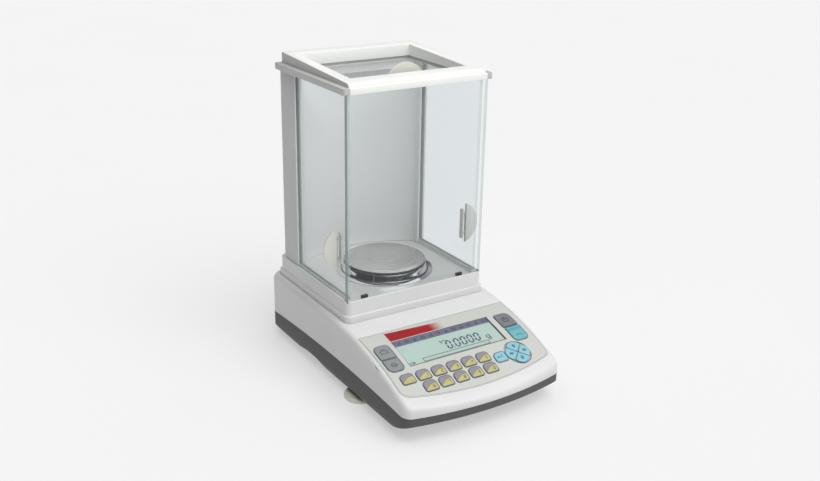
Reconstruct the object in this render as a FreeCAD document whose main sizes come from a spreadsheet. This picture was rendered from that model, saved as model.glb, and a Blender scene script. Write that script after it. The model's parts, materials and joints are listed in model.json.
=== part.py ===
import FreeCAD, Part
import os
import re

import Sketcher

# Analytical balance with a glass draft shield.
# Millimetres.  +X is the operator's right, +Y points to the back, +Z is up.  The origin lies on the
# bench, under the middle of the base.  The deck under the keypad is one cylinder about an X axis:
# "arc" is the distance along it towards the front, counted from the line where the deck turns level.

DIMENSIONS = {
    # base and housing
    "half_width": 101.5, "half_depth": 165.0, "front_radius": 423.0, "front_corner": 12.0,
    "back_corner": 20.0, "wall": 3.0, "seam_z": 29.5, "seam_rise": 7.0, "deck_z": 80.0,
    "deck_radius": 360.0, "tangent_y": 7.0, "deck_thickness": 5.0, "edge_round": 7.0,
    "under_z": 6.6, "rear_z": 8.4, "floor_z": 10.2, "bilge_round": 9.0, "arch_front": 46.0,
    "arch_back": 54.0, "arch_z": 14.8, "front_ramp": 25.0, "back_ramp": 25.0, "keel_y": -104.0,
    "nose_z": 21.0, "nose_run": 45.0, "nose_radius": 150.0, "tail_y": 132.0, "tail_z": 14.0,
    "sill_z": 18.5,
    "front_wall": 15.0, "back_wall": 10.0, "bilge_inset": 10.0,
    # feet and fixings under the base
    "foot_x": 88.0, "foot_y": -41.0, "foot_radius": 19.0, "foot_height": 5.0, "stud_radius": 3.0,
    "stud_top": 26.0, "insert_radius": 5.0, "thread_gap": 0.05, "rear_foot_x": 62.0,
    "rear_foot_y": 120.0, "rear_foot_radius": 11.0, "screw_x": 80.0, "screw_front_y": -8.0,
    "screw_back_y": 122.0, "screw_head_radius": 3.1, "screw_radius": 1.45, "screw_top": 56.0,
    # plinth of the draft shield
    "plinth_half": 91.0, "plinth_front": -16.5, "plinth_back": 152.0, "plinth_z": 78.0,
    "plinth_top": 104.0, "plinth_corner": 8.0, "flange": 2.0, "flange_top": 87.0,
    "plinth_wall": 4.0, "plinth_roof": 97.0, "plate_top": 101.0, "plate_thickness": 1.2,
    "plate_half": 80.8, "plate_front": -8.45, "post_hole": 11.0,
    # glass
    "glass_half": 89.25, "pane_front": -13.7, "pane_thickness": 5.0, "pane_bottom": 101.2,
    "pane_top": 335.6, "groove_gap": 0.25, "door_x": 84.5, "door_thickness": 4.0,
    "door_front": -7.8, "door_back": 112.0, "door_bottom": 104.3, "door_top": 335.4,
    "top_door_half": 77.0, "top_door_thickness": 3.0, "top_door_z": 334.4, "top_door_front": 5.0,
    "top_door_back": 130.0,
    # door handles: a half moon standing on a clamp plate
    "moon_half": 24.0, "moon_height": 16.5, "moon_thickness": 3.0, "clamp_half": 18.5,
    "clamp_width": 6.0, "clamp_thickness": 2.0, "side_handle_y": 15.0, "side_handle_z": 156.0,
    "top_handle_y": 17.0, "pin_half": 3.0,
    # rear column
    "column_front": 107.0, "column_back": 141.0, "column_bulge": 4.5, "column_foot": 101.0,
    "lip_z": 333.2, "wall_half": 79.5, "wall_start": 115.0, "wall_middle": 141.5,
    "slot_floor": 104.0,
    # top frame
    "lip_half": 94.0, "lip_front": -16.0, "lip_back": 146.0, "lip_top": 340.0,
    "wedge_half": 86.45, "wedge_front": -12.5, "wedge_back": 141.5, "wedge_low": 344.3,
    "wedge_high": 352.0, "wedge_nose": 3.6, "opening_half": 73.0, "opening_front": 8.0,
    "opening_back": 124.0,
    # weighing pan, shield ring and carrier
    "pan_y": 56.0, "pan_flat": 43.5, "pan_radius": 48.5, "pan_top": 116.8, "pan_rim_top": 114.6,
    "pan_rim_bottom": 112.9, "pan_sheet": 1.2, "socket_radius": 8.0, "socket_bottom": 107.0,
    "post_radius": 5.0, "post_top": 112.0, "ring_foot": 57.5, "ring_knee": 50.6,
    "ring_mouth": 47.6, "ring_top": 111.8, "ring_knee_z": 103.6, "ring_sheet": 1.0,
    # keypad
    "keypad_half": 96.0, "keypad_back_arc": 55.0, "keypad_front_inset": 13.5,
    "keypad_corner": 9.0, "recess": 1.6, "film_proud": 0.1, "film_bottom": 0.4,
    "membrane_top": 1.2, "key_bottom": 0.5, "key_top": 0.8, "window_gap": 0.3,
    "dome_radius": 3.5, "dome_top": 1.02, "screen_x": -3.0, "screen_arc": 95.8,
    "screen_width": 127.0, "screen_length": 41.0, "cluster_x": 60.8, "cluster_arc": 137.4,
    "cluster_radius": 13.4, "cluster_gap": 0.5, "cluster_hole": 15.6,
    # rear panel
    "panel_half": 56.0, "panel_bottom": 42.0, "panel_top": 70.0, "panel_face": 161.6,
    "panel_thickness": 2.0, "port_z": 56.0, "power_x": 36.0, "serial_x": -28.0,
}

doc = FreeCAD.newDocument("analytical_balance")
sheet = doc.addObject("Spreadsheet::Sheet", "dims")
for row, (alias, value) in enumerate(DIMENSIONS.items(), start=1):
    sheet.set(f"A{row}", alias)
    sheet.set(f"B{row}", str(value))
    sheet.setAlias(f"B{row}", alias)
doc.recompute()

WORD = re.compile(r"[a-z_]+")
SUBPARTS = {}


def bind(expression):
    """The expression with every driving dimension spelt as a cell of the sheet."""
    return WORD.sub(lambda m: f"dims.{m[0]}" if m[0] in DIMENSIONS else m[0], str(expression))


def number(expression):
    """The expression's present value."""
    return float(sheet.evalExpression(bind(expression)))


def keep(node, thing):
    """Registers a finished object as the sub-part that its label names."""
    thing.Label = node
    SUBPARTS[node] = thing
    return thing


# ---- sketches and features ---------------------------------------------------------------------


def new_body(name, x="0", y="0", z="0"):
    body = doc.addObject("PartDesign::Body", f"{name}_body")
    for axis, value in zip("xyz", (x, y, z)):
        body.setExpression(f"Placement.Base.{axis}", bind(value))
    return body


def new_sketch(body, plane="XY_Plane", height="0"):
    sketch = body.newObject("Sketcher::SketchObject", "outline")
    support = [part for part in body.Origin.OriginFeatures if part.Role == plane]
    sketch.AttachmentSupport = [(support[0], "")]
    sketch.MapMode = "FlatFace"
    sketch.setExpression("AttachmentOffset.Base.z", bind(height))
    return sketch


def pin_point(sketch, geometry, end, x, y):
    """Dimensions one point of the sketch from its origin."""
    for kind, value in (("DistanceX", x), ("DistanceY", y)):
        index = sketch.addConstraint(
            Sketcher.Constraint(kind, -1, 1, geometry, end, number(value)))
        sketch.setExpression(f"Constraints[{index}]", bind(value))


def arc_between(start, end, radius, turn):
    """The short arc from start to end; turn is +1 anticlockwise and -1 clockwise."""
    half = (end - start) * 0.5
    side = FreeCAD.Vector(-half.y, half.x, 0).normalize()
    centre = start + half + side * turn * max(radius ** 2 - half.Length ** 2, 0) ** 0.5
    circle = Part.Circle(centre, FreeCAD.Vector(0, 0, 1), radius)
    first, last = (start, end) if turn > 0 else (end, start)
    return Part.ArcOfCircle(circle, circle.parameter(first), circle.parameter(last))


def draw(sketch, path):
    """Adds a closed path: corners (x, y), and ("arc", radius, turn) between two of them."""
    corners = [step for step in path if step[0] != "arc"]
    arcs = {}
    for place, step in enumerate(path):
        if step[0] == "arc":
            arcs[sum(s[0] != "arc" for s in path[:place]) - 1] = step[1:]
    points = [FreeCAD.Vector(number(x), number(y), 0) for x, y in corners]
    first = len(sketch.Geometry)
    ends = []
    for k, start in enumerate(points):
        finish = points[(k + 1) % len(points)]
        if k in arcs:
            radius, turn = arcs[k]
            sketch.addGeometry(arc_between(start, finish, number(radius), turn))
            index = sketch.addConstraint(
                Sketcher.Constraint("Radius", first + k, number(radius)))
            sketch.setExpression(f"Constraints[{index}]", bind(radius))
            ends.append((1, 2) if turn > 0 else (2, 1))
        else:
            sketch.addGeometry(Part.LineSegment(start, finish))
            ends.append((1, 2))
    for k, (x, y) in enumerate(corners):
        before = (k - 1) % len(corners)
        sketch.addConstraint(Sketcher.Constraint(
            "Coincident", first + before, ends[before][1], first + k, ends[k][0]))
        pin_point(sketch, first + k, ends[k][0], x, y)
    return sketch


def draw_circle(sketch, x, y, radius):
    middle = FreeCAD.Vector(number(x), number(y), 0)
    index = sketch.addGeometry(Part.Circle(middle, FreeCAD.Vector(0, 0, 1), number(radius)))
    pin_point(sketch, index, 3, x, y)
    constraint = sketch.addConstraint(Sketcher.Constraint("Radius", index, number(radius)))
    sketch.setExpression(f"Constraints[{constraint}]", bind(radius))
    return sketch


def rectangle(x0, x1, y0, y1):
    return [(x0, y0), (x1, y0), (x1, y1), (x0, y1)]


def rounded(x0, x1, y0, y1, radius):
    """A rectangle whose corners are arcs, anticlockwise."""
    arc = ("arc", radius, 1)
    return [
        (f"{x0} + {radius}", y0), (f"{x1} - {radius}", y0), arc,
        (x1, f"{y0} + {radius}"), (x1, f"{y1} - {radius}"), arc,
        (f"{x1} - {radius}", y1), (f"{x0} + {radius}", y1), arc,
        (x0, f"{y1} - {radius}"), (x0, f"{y0} + {radius}"), arc,
    ]


def pad(body, sketch, length, symmetric=False):
    feature = body.newObject("PartDesign::Pad", "pad")
    feature.Profile = sketch
    feature.setExpression("Length", bind(length))
    feature.SideType = "Symmetric" if symmetric else "One side"
    doc.recompute()
    return feature


def pocket(body, sketch, length, symmetric=False, upward=False):
    """Cuts downward from the sketch, or upward, or both ways, and makes sure that it did cut."""
    before = body.Shape.Volume
    feature = body.newObject("PartDesign::Pocket", "pocket")
    feature.Profile = sketch
    feature.setExpression("Length", bind(length))
    feature.Reversed = upward
    feature.SideType = "Symmetric" if symmetric else "One side"
    doc.recompute()
    if body.Shape.Volume > before - 0.01:
        raise RuntimeError(f"{body.Name}: a pocket cut nothing")
    return feature


def cut_box(body, x0, x1, y0, y1, z0, z1):
    """A box-shaped pocket between two corners."""
    sketch = draw(new_sketch(body, height=z1), rectangle(x0, x1, y0, y1))
    return pocket(body, sketch, f"({z1}) - ({z0})")


def cut_hole(body, x, y, radius, top, depth):
    return pocket(body, draw_circle(new_sketch(body, height=top), x, y, radius), depth)


def add_round(body, x, y, radius, bottom, height):
    return pad(body, draw_circle(new_sketch(body, height=bottom), x, y, radius), height)


def slab(name, path, bottom, height, **place):
    """A body that is one flat outline, padded upward."""
    body = new_body(name, **place)
    pad(body, draw(new_sketch(body, height=bottom), path), height)
    return body


def spin(body, path):
    """Revolves a half section, drawn as radius and height, about the body's own Z axis."""
    sketch = draw(new_sketch(body, "XZ_Plane"), path)
    feature = body.newObject("PartDesign::Revolution", "turned")
    feature.Profile = sketch
    feature.ReferenceAxis = (sketch, ["V_Axis"])
    feature.Angle = 360
    doc.recompute()
    return feature


# ---- the base's outline and the curved deck ------------------------------------------------------


def plan_outline(inset="0", front_inset="0"):
    """The base seen from above: bowed front, straight sides, round corners."""
    half = f"(half_width - {inset})"
    bow = f"(front_radius - {front_inset})"
    bow_y = "(front_radius - half_depth)"
    corner = f"(front_corner - {inset})"
    back = f"(back_corner - {inset})"
    edge = f"(half_depth - {inset})"
    corner_x = f"({half} - {corner})"
    corner_y = f"({bow_y} - sqrt(({bow} - {corner}) ^ 2 - {corner_x} ^ 2))"
    touch_x = f"({corner_x} * {bow} / ({bow} - {corner}))"
    touch_y = f"({bow_y} - sqrt({bow} ^ 2 - {touch_x} ^ 2))"
    return [
        (f"-{touch_x}", touch_y), ("arc", bow, 1), (touch_x, touch_y), ("arc", corner, 1),
        (half, corner_y), (half, f"{edge} - {back}"), ("arc", back, 1),
        (f"{half} - {back}", edge), (f"{back} - {half}", edge), ("arc", back, 1),
        (f"-{half}", f"{edge} - {back}"), (f"-{half}", corner_y), ("arc", corner, 1),
    ]


def deck_y(arc, lift="0"):
    return f"(tangent_y - (deck_radius + {lift}) * sin({arc} / deck_radius * 1 rad))"


def deck_z(arc, lift="0"):
    return f"(deck_z - deck_radius + (deck_radius + {lift}) * cos({arc} / deck_radius * 1 rad))"


def trim_outside(body, path, height, depth):
    """Cuts away everything outside the path, seen from above."""
    sketch = new_sketch(body, height=height)
    draw(sketch, rectangle("-2 * half_depth", "2 * half_depth", "-2 * half_depth", "2 * half_depth"))
    draw(sketch, path)
    return pocket(body, sketch, depth)


def keypad_outline(inset):
    """The keypad seen from above: straight back edge, front edge bowed like the base."""
    half = f"(keypad_half - {inset})"
    bow = f"(front_radius - keypad_front_inset - {inset})"
    bow_y = "(front_radius - half_depth)"
    corner = f"(keypad_corner - {inset})"
    corner_x = f"({half} - {corner})"
    corner_y = f"({bow_y} - sqrt(({bow} - {corner}) ^ 2 - {corner_x} ^ 2))"
    touch_x = f"({corner_x} * {bow} / ({bow} - {corner}))"
    touch_y = f"({bow_y} - sqrt({bow} ^ 2 - {touch_x} ^ 2))"
    back = f"({deck_y('keypad_back_arc')} - {inset})"
    return [
        (f"-{touch_x}", touch_y), ("arc", bow, 1), (touch_x, touch_y), ("arc", corner, 1),
        (half, corner_y), (half, back), (f"-{half}", back), (f"-{half}", corner_y),
        ("arc", corner, 1),
    ]


def deck_layer(name, bottom, top, inset):
    """A sheet that follows the deck, between two lifts from its surface."""
    body = new_body(name)
    back, front = "(keypad_back_arc - 10)", "(keypad_back_arc + 125)"
    section = [
        (deck_y(back, bottom), deck_z(back, bottom)), ("arc", f"(deck_radius + {bottom})", 1),
        (deck_y(front, bottom), deck_z(front, bottom)),
        (deck_y(front, top), deck_z(front, top)), ("arc", f"(deck_radius + {top})", -1),
        (deck_y(back, top), deck_z(back, top)),
    ]
    pad(body, draw(new_sketch(body, "YZ_Plane"), section), "2 * keypad_half + 10", symmetric=True)
    trim_outside(body, keypad_outline(inset), "deck_z + 20", "deck_z + 20")
    return body


def screen_outline(margin):
    half = f"(screen_width / 2 + {margin})"
    near = deck_y(f"(screen_arc + screen_length / 2 + {margin})")
    far = deck_y(f"(screen_arc - screen_length / 2 - {margin})")
    return rectangle(f"screen_x - {half}", f"screen_x + {half}", near, far)


def tilt(thing, x, arc, lift="0"):
    """Sets a piece on the deck at x and arc, square to the surface."""
    thing.Placement = FreeCAD.Placement(FreeCAD.Vector(), FreeCAD.Rotation(FreeCAD.Vector(1, 0, 0), 1))
    thing.setExpression("Placement.Base.x", bind(x))
    thing.setExpression("Placement.Base.y", bind(deck_y(arc, lift)))
    thing.setExpression("Placement.Base.z", bind(deck_z(arc, lift)))
    thing.setExpression("Placement.Rotation.Angle", bind(f"{arc} / deck_radius * 1 rad"))
    return thing


# ---- base and housing ----------------------------------------------------------------------------

SEAM_RADIUS = "((half_depth ^ 2 + seam_rise ^ 2) / (2 * seam_rise))"


def ramp_radius(run, rise):
    """The radius of two equal arcs that climb the rise over twice the run, level at both ends."""
    return f"(({run} ^ 2 + ({rise} / 2) ^ 2) / {rise})"




FOOT_SIDES = {"left": "-1", "right": "1"}
SCREW_PLACES = [(f"{side} * screw_x", y) for side in ("-1", "1") for y in ("screw_front_y", "screw_back_y")]


def make_base_shell():
    """The dark lower shell: a tray with an arched seam, an undercut nose and two hand arches."""
    body = new_body("base_shell")
    front_bend = ("arc", ramp_radius("front_ramp", "(arch_z - under_z)"))
    back_bend = ("arc", ramp_radius("back_ramp", "(arch_z - rear_z)"))
    section = [
        ("-half_depth", "under_z"), ("-half_depth", "seam_z"), ("arc", SEAM_RADIUS, -1),
        ("half_depth", "seam_z"), ("half_depth", "tail_z"), ("tail_y + 20", "tail_z - 0.8"),
        ("tail_y", "rear_z"), ("arch_back + 2 * back_ramp", "rear_z"), (*back_bend, -1),
        ("arch_back + back_ramp", "(arch_z + rear_z) / 2"), (*back_bend, 1), ("arch_back", "arch_z"),
        ("arch_front", "arch_z"), (*front_bend, 1),
        ("arch_front - front_ramp", "(arch_z + under_z) / 2"), (*front_bend, -1),
        ("arch_front - 2 * front_ramp", "under_z"),
    ]
    pad(body, draw(new_sketch(body, "YZ_Plane"), section), "2 * half_width", symmetric=True)
    trim_outside(body, plan_outline(), "deck_z", "deck_z")
    undercut_nose(body)
    round_bilges(body)
    upper = draw(new_sketch(body, height="seam_z + 20"), plan_outline("wall", "front_wall"))
    pocket(body, upper, "seam_z + 20 - sill_z")
    inner = "(half_width - bilge_inset)"
    cut_box(body, f"-{inner}", inner, "keel_y", "arch_front - 2 * front_ramp + 6", "floor_z", "sill_z")
    cut_box(body, f"-{inner}", inner, "arch_back + 2 * back_ramp - 6", "tail_y", "floor_z", "sill_z")
    for side in FOOT_SIDES.values():
        x = f"{side} * foot_x"
        add_round(body, x, "foot_y", "insert_radius + 2.5", "under_z", "stud_top - under_z")
        cut_hole(body, x, "foot_y", "insert_radius", "stud_top", "stud_top - under_z")
        cut_hole(body, f"{side} * rear_foot_x", "rear_foot_y", "rear_foot_radius - 3", "floor_z",
                 "floor_z - rear_z")
    for x, y in SCREW_PLACES:
        add_round(body, x, y, "6", "floor_z - 1", "seam_z + 5 - floor_z")
        cut_hole(body, x, y, "screw_radius + 0.3", "seam_z + 4", "seam_z + 4 - under_z")
        pocket(body, draw_circle(new_sketch(body, height="under_z"), x, y, "screw_head_radius + 0.3"),
               "13", upward=True)
    return keep("base_shell", body)


def undercut_nose(body):
    """Slopes the underside up towards the bowed front, about the bow's own centre."""
    axis = "(front_radius - half_depth)"
    start, rim = "(nose_run - front_radius)", "(0 - front_radius - 2)"
    sketch = new_sketch(body, "YZ_Plane")
    sketch.setExpression("AttachmentOffset.Base.x", bind(axis))
    draw(sketch, [
        (start, "under_z - 1"), (start, "under_z"), ("arc", "nose_radius", -1),
        ("0 - front_radius", "nose_z"), (rim, "nose_z"), (rim, "under_z - 1"),
    ])
    feature = body.newObject("PartDesign::Groove", "undercut")
    feature.Profile = sketch
    feature.ReferenceAxis = (sketch, ["V_Axis"])
    feature.Angle = 360
    doc.recompute()


def round_bilges(body):
    """Rounds the two long lower edges."""
    sketch = new_sketch(body, "XZ_Plane")
    for side, turn in (("-1", -1), ("1", 1)):
        wall, shoulder = f"{side} * half_width", f"{side} * (half_width - bilge_round)"
        outside = f"{side} * (half_width + 1)"
        draw(sketch, [
            (wall, "under_z + bilge_round"), ("arc", "bilge_round", -turn), (shoulder, "under_z"),
            (shoulder, "under_z - 1"), (outside, "under_z - 1"), (outside, "under_z + bilge_round"),
        ])
    pocket(body, sketch, "4 * half_depth", symmetric=True)


def make_upper_housing():
    """The pale upper shell: level deck at the back, cylindrical keypad deck in front."""
    body = new_body("upper_housing")
    front_arc = "(deck_radius * asin((half_depth + tangent_y) / deck_radius) / 1 rad)"
    section = [
        ("-half_depth", "seam_z"), ("arc", SEAM_RADIUS, -1), ("half_depth", "seam_z"),
        ("half_depth", "deck_z"), ("tangent_y", "deck_z"), ("arc", "deck_radius", 1),
        (deck_y(front_arc), deck_z(front_arc)),
    ]
    pad(body, draw(new_sketch(body, "YZ_Plane"), section), "2 * half_width", symmetric=True)
    trim_outside(body, plan_outline(), "deck_z + 5", "deck_z + 5")
    round_top_edge(body)
    inner = "(deck_radius - deck_thickness)"
    front = "(front_wall - half_depth)"
    roof = f"(deck_z - deck_radius + sqrt({inner} ^ 2 - ({front} - tangent_y) ^ 2))"
    cavity = [
        (front, "seam_z - 5"), ("half_depth - back_wall", "seam_z - 5"),
        ("half_depth - back_wall", "deck_z - deck_thickness"), ("tangent_y", "deck_z - deck_thickness"),
        ("arc", inner, 1), (front, roof),
    ]
    pocket(body, draw(new_sketch(body, "YZ_Plane"), cavity), "2 * (half_width - wall - 2)", symmetric=True)
    for x, y in SCREW_PLACES:
        add_round(body, x, y, "5", "seam_z + 4", "deck_z - deck_thickness - seam_z - 3")
        cut_hole(body, x, y, "screw_radius + 0.05", "screw_top + 2", "screw_top + 2 - seam_z - 4")
    seat = rounded("-(plinth_half + flange + 0.1)", "(plinth_half + flange + 0.1)",
                   "(plinth_front - flange - 0.1)", "(plinth_back + flange + 0.1)", "plinth_corner")
    pocket(body, draw(new_sketch(body, height="deck_z + 5"), seat), "deck_z + 5 - plinth_z")
    cut_hole(body, "0", "pan_y", "post_hole", "deck_z", "deck_z - seam_z")
    cut_box(body, "-panel_half", "panel_half", "half_depth - back_wall - 1", "half_depth + 1",
            "panel_bottom", "panel_top")
    recess = deck_layer("keypad_recess", "(0 - recess)", "8", "0")
    boolean = body.newObject("PartDesign::Boolean", "recess_cut")
    boolean.setObjects([recess])
    boolean.Type = "Cut"
    doc.recompute()
    pocket(body, draw(new_sketch(body, height="deck_z"), screen_outline("1")), "deck_z - seam_z - 8")
    return keep("upper_housing", body)


def round_top_edge(body):
    """Rounds the housing's upper outer edge all the way round."""
    whole = body.Tip
    names = []
    for k, edge in enumerate(body.Shape.Edges, start=1):
        middle = edge.valueAt((edge.FirstParameter + edge.LastParameter) / 2)
        wide = abs(middle.x) > number("half_width") - 25
        outer = wide or abs(middle.y) > number("half_depth") - 25
        level = edge.BoundBox.ZMin > number("seam_z") + 4
        above = middle.z > number("seam_z + seam_rise") or middle.y < number("-half_depth") + 15
        if outer and level and above:
            names.append(f"Edge{k}")
    feature = body.newObject("PartDesign::Fillet", "rounding")
    feature.Base = (whole, names)
    feature.setExpression("Radius", "dims.edge_round")
    doc.recompute()
    return feature


def make_feet():
    """Two screw feet with finger discs, two rubber feet, and the brass inserts of the screws."""
    for name, side in FOOT_SIDES.items():
        body = new_body(f"foot_{name}", x=f"{side} * foot_x", y="foot_y")
        spin(body, [
            ("0", "0"), ("foot_radius - 1", "0"), ("foot_radius", "1"),
            ("foot_radius", "foot_height - 1"), ("foot_radius - 1", "foot_height"),
            ("7", "foot_height"), ("6", "foot_height + 1.2"), ("stud_radius", "foot_height + 1.2"),
            ("stud_radius", "stud_top"), ("0", "stud_top"),
        ])
        keep(f"foot_{name}", body)
    inserts = new_body("foot_inserts")
    rubber = new_body("rear_feet")
    tube = new_sketch(inserts, height="under_z + 0.5")
    disc = new_sketch(rubber)
    plug = new_sketch(rubber, height="rear_z")
    for side in FOOT_SIDES.values():
        draw_circle(tube, f"{side} * foot_x", "foot_y", "insert_radius")
        draw_circle(tube, f"{side} * foot_x", "foot_y", "stud_radius + thread_gap")
        draw_circle(disc, f"{side} * rear_foot_x", "rear_foot_y", "rear_foot_radius")
        draw_circle(plug, f"{side} * rear_foot_x", "rear_foot_y", "rear_foot_radius - 3.1")
    pad(inserts, tube, "stud_top - under_z - 0.5")
    pad(rubber, disc, "rear_z")
    pad(rubber, plug, "floor_z - rear_z")
    keep("foot_inserts", inserts)
    keep("rear_feet", rubber)


def make_housing_screws():
    """Four screws that hold the two shells together."""
    body = new_body("housing_screws")
    heads = new_sketch(body, height="under_z + 10.5")
    shanks = new_sketch(body, height="under_z + 13")
    for x, y in SCREW_PLACES:
        draw_circle(heads, x, y, "screw_head_radius")
        draw_circle(shanks, x, y, "screw_radius")
    pad(body, heads, "2.5")
    pad(body, shanks, "screw_top - under_z - 13")
    return keep("housing_screws", body)


# ---- plinth, column and top frame ----------------------------------------------------------------

CHORD = "(wall_middle - wall_start)"
WALL_RADIUS = f"((wall_half ^ 2 + {CHORD} ^ 2) / (2 * {CHORD}))"
BACK_RADIUS = "((glass_half ^ 2 + column_bulge ^ 2) / (2 * column_bulge))"


def column_outline(gap="0"):
    """The rear column seen from above: two posts and a concave wall between them."""
    return [
        ("-glass_half", "column_front"), ("-wall_half", "column_front"), ("-wall_half", "wall_start"),
        ("arc", WALL_RADIUS, -1), ("wall_half", "wall_start"), ("wall_half", "column_front"),
        ("glass_half", "column_front"), ("glass_half", f"column_back + {gap}"),
        ("arc", BACK_RADIUS, 1), ("-glass_half", f"column_back + {gap}"),
    ]


def make_plinth():
    """The moulded plinth: carries the glass, the floor plate and the column."""
    body = new_body("chamber_plinth")
    flange = rounded("-(plinth_half + flange)", "(plinth_half + flange)", "(plinth_front - flange)",
                     "(plinth_back + flange)", "plinth_corner")
    main = rounded("-plinth_half", "plinth_half", "plinth_front", "plinth_back", "plinth_corner")
    pad(body, draw(new_sketch(body, height="plinth_z"), flange), "flange_top - plinth_z")
    pad(body, draw(new_sketch(body, height="flange_top"), main), "plinth_top - flange_top")
    hollow = rectangle("plinth_wall - plinth_half", "plinth_half - plinth_wall",
                       "plinth_front + plinth_wall", "plinth_back - plinth_wall")
    pocket(body, draw(new_sketch(body, height="plinth_z"), hollow), "plinth_roof - plinth_z", upward=True)
    cut_box(body, "-glass_half - groove_gap", "glass_half + groove_gap", "pane_front - groove_gap",
            "pane_front + pane_thickness + groove_gap", "pane_bottom", "plinth_top")
    pocket(body, draw(new_sketch(body, height="plinth_top"), column_outline()), "plinth_top - column_foot")
    plate = draw(new_sketch(body, height="plinth_top"), floor_outline())
    pocket(body, plate, "plinth_top - plate_top + plate_thickness")
    for side in (-1, 1):
        edges = sorted([side * 81.4, side * 87.8])
        cut_box(body, str(edges[0]), str(edges[1]), "door_front + 0.4", "column_front",
                "plinth_top - 1", "plinth_top")
    cut_hole(body, "0", "pan_y", "post_hole", "plinth_top", "plinth_top - plinth_z")
    cut_hole(body, "72", "147.1", "3.9", "plinth_top", "3")
    return keep("chamber_plinth", body)


def floor_outline():
    """The floor of the chamber: straight front and sides, back edge along the concave wall."""
    return [
        ("-plate_half", "plate_front"), ("plate_half", "plate_front"),
        ("plate_half", "column_front"), ("wall_half", "column_front"), ("wall_half", "wall_start"),
        ("arc", WALL_RADIUS, 1), ("-wall_half", "wall_start"), ("-wall_half", "column_front"),
        ("-plate_half", "column_front"),
    ]


def make_floor_plate():
    body = slab("floor_plate", floor_outline(), "plate_top - plate_thickness", "plate_thickness")
    cut_hole(body, "0", "pan_y", "post_hole - 1", "plate_top", "plate_thickness")
    return keep("floor_plate", body)


def make_column():
    """The rear column, slotted for the side doors, with a hollow in each thick corner."""
    body = slab("rear_column", column_outline(), "column_foot", "lip_z - column_foot")
    for side, turn in (("-1", -1), ("1", 1)):
        slot = [f"{side} * (door_x + {s} * (door_thickness / 2 + groove_gap))" for s in (-turn, turn)]
        cut_box(body, slot[0], slot[1], "column_front - 1", "column_back + 6", "slot_floor", "lip_z")
        hollow = [(f"{side} * 50", "139.5"), (f"{side} * 78", "139.5"), (f"{side} * 78", "123")]
        pocket(body, draw(new_sketch(body, height="lip_z"), hollow), "lip_z - column_foot")
    return keep("rear_column", body)


def make_top_frame():
    """The lid frame: a flat lip, a wedge that rises to the back, an opening and the glass grooves."""
    body = slab("top_frame", rounded("-lip_half", "lip_half", "lip_front", "lip_back", "3"),
                "lip_z", "lip_top - lip_z")
    wedge = [
        ("wedge_front", "lip_top - 1"), ("wedge_back", "lip_top - 1"), ("wedge_back", "wedge_high"),
        ("wedge_front + wedge_nose", "wedge_low"), ("arc", "wedge_nose + 0.4", 1),
        ("wedge_front", "wedge_low - wedge_nose"),
    ]
    pad(body, draw(new_sketch(body, "YZ_Plane"), wedge), "2 * wedge_half", symmetric=True)
    cut_box(body, "-opening_half", "opening_half", "opening_front", "opening_back", "lip_z - 1",
            "wedge_high + 1")
    cut_box(body, "-(top_door_half + groove_gap)", "(top_door_half + groove_gap)",
            "top_door_front - 1", "lip_back + 1", "top_door_z - 0.15",
            "top_door_z + top_door_thickness + groove_gap")
    cut_box(body, "-glass_half - groove_gap", "glass_half + groove_gap", "pane_front - groove_gap",
            "pane_front + pane_thickness + groove_gap", "lip_z - 1", "pane_top + 0.2")
    for side, turn in (("-1", -1), ("1", 1)):
        slot = [f"{side} * (door_x + {s} * (door_thickness / 2 + groove_gap))" for s in (-turn, turn)]
        cut_box(body, slot[0], slot[1], "door_front - 1", "lip_back + 1", "lip_z - 1", "door_top + 0.6")
    return keep("top_frame", body)


def make_fixed_glass():
    body = slab("front_glass", rectangle("-glass_half", "glass_half", "pane_front",
                                         "pane_front + pane_thickness"),
                "pane_bottom", "pane_top - pane_bottom")
    return keep("front_glass", body)


def make_door_tracks():
    """Plastic channels that guide the side doors' lower edges."""
    body = new_body("door_tracks")
    base = new_sketch(body, height="plinth_top - 1")
    ridges = new_sketch(body, height="plinth_top")
    for side in (-1, 1):
        low, high = sorted([side * 81.4, side * 87.8])
        inner = f"{side} * (door_x - door_thickness / 2 - groove_gap)"
        outer = f"{side} * (door_x + door_thickness / 2 + groove_gap)"
        near, far = (inner, outer) if side > 0 else (outer, inner)
        draw(base, rectangle(str(low), str(high), "door_front + 0.4", "column_front"))
        draw(ridges, rectangle(str(low), near, "door_front + 0.4", "column_front"))
        draw(ridges, rectangle(far, str(high), "door_front + 0.4", "column_front"))
    pad(body, base, "1")
    pad(body, ridges, "1.6")
    return keep("door_tracks", body)


def make_glass_clips():
    """Two small clips that hold the front glass at the floor plate's edge."""
    body = new_body("glass_clips")
    outline = new_sketch(body, height="plate_top")
    for middle in (-64, 64):
        draw(outline, rectangle(str(middle - 4), str(middle + 4), "plate_front", "plate_front + 3"))
    pad(body, outline, "3.6")
    return keep("glass_clips", body)


# ---- doors ---------------------------------------------------------------------------------------


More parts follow.
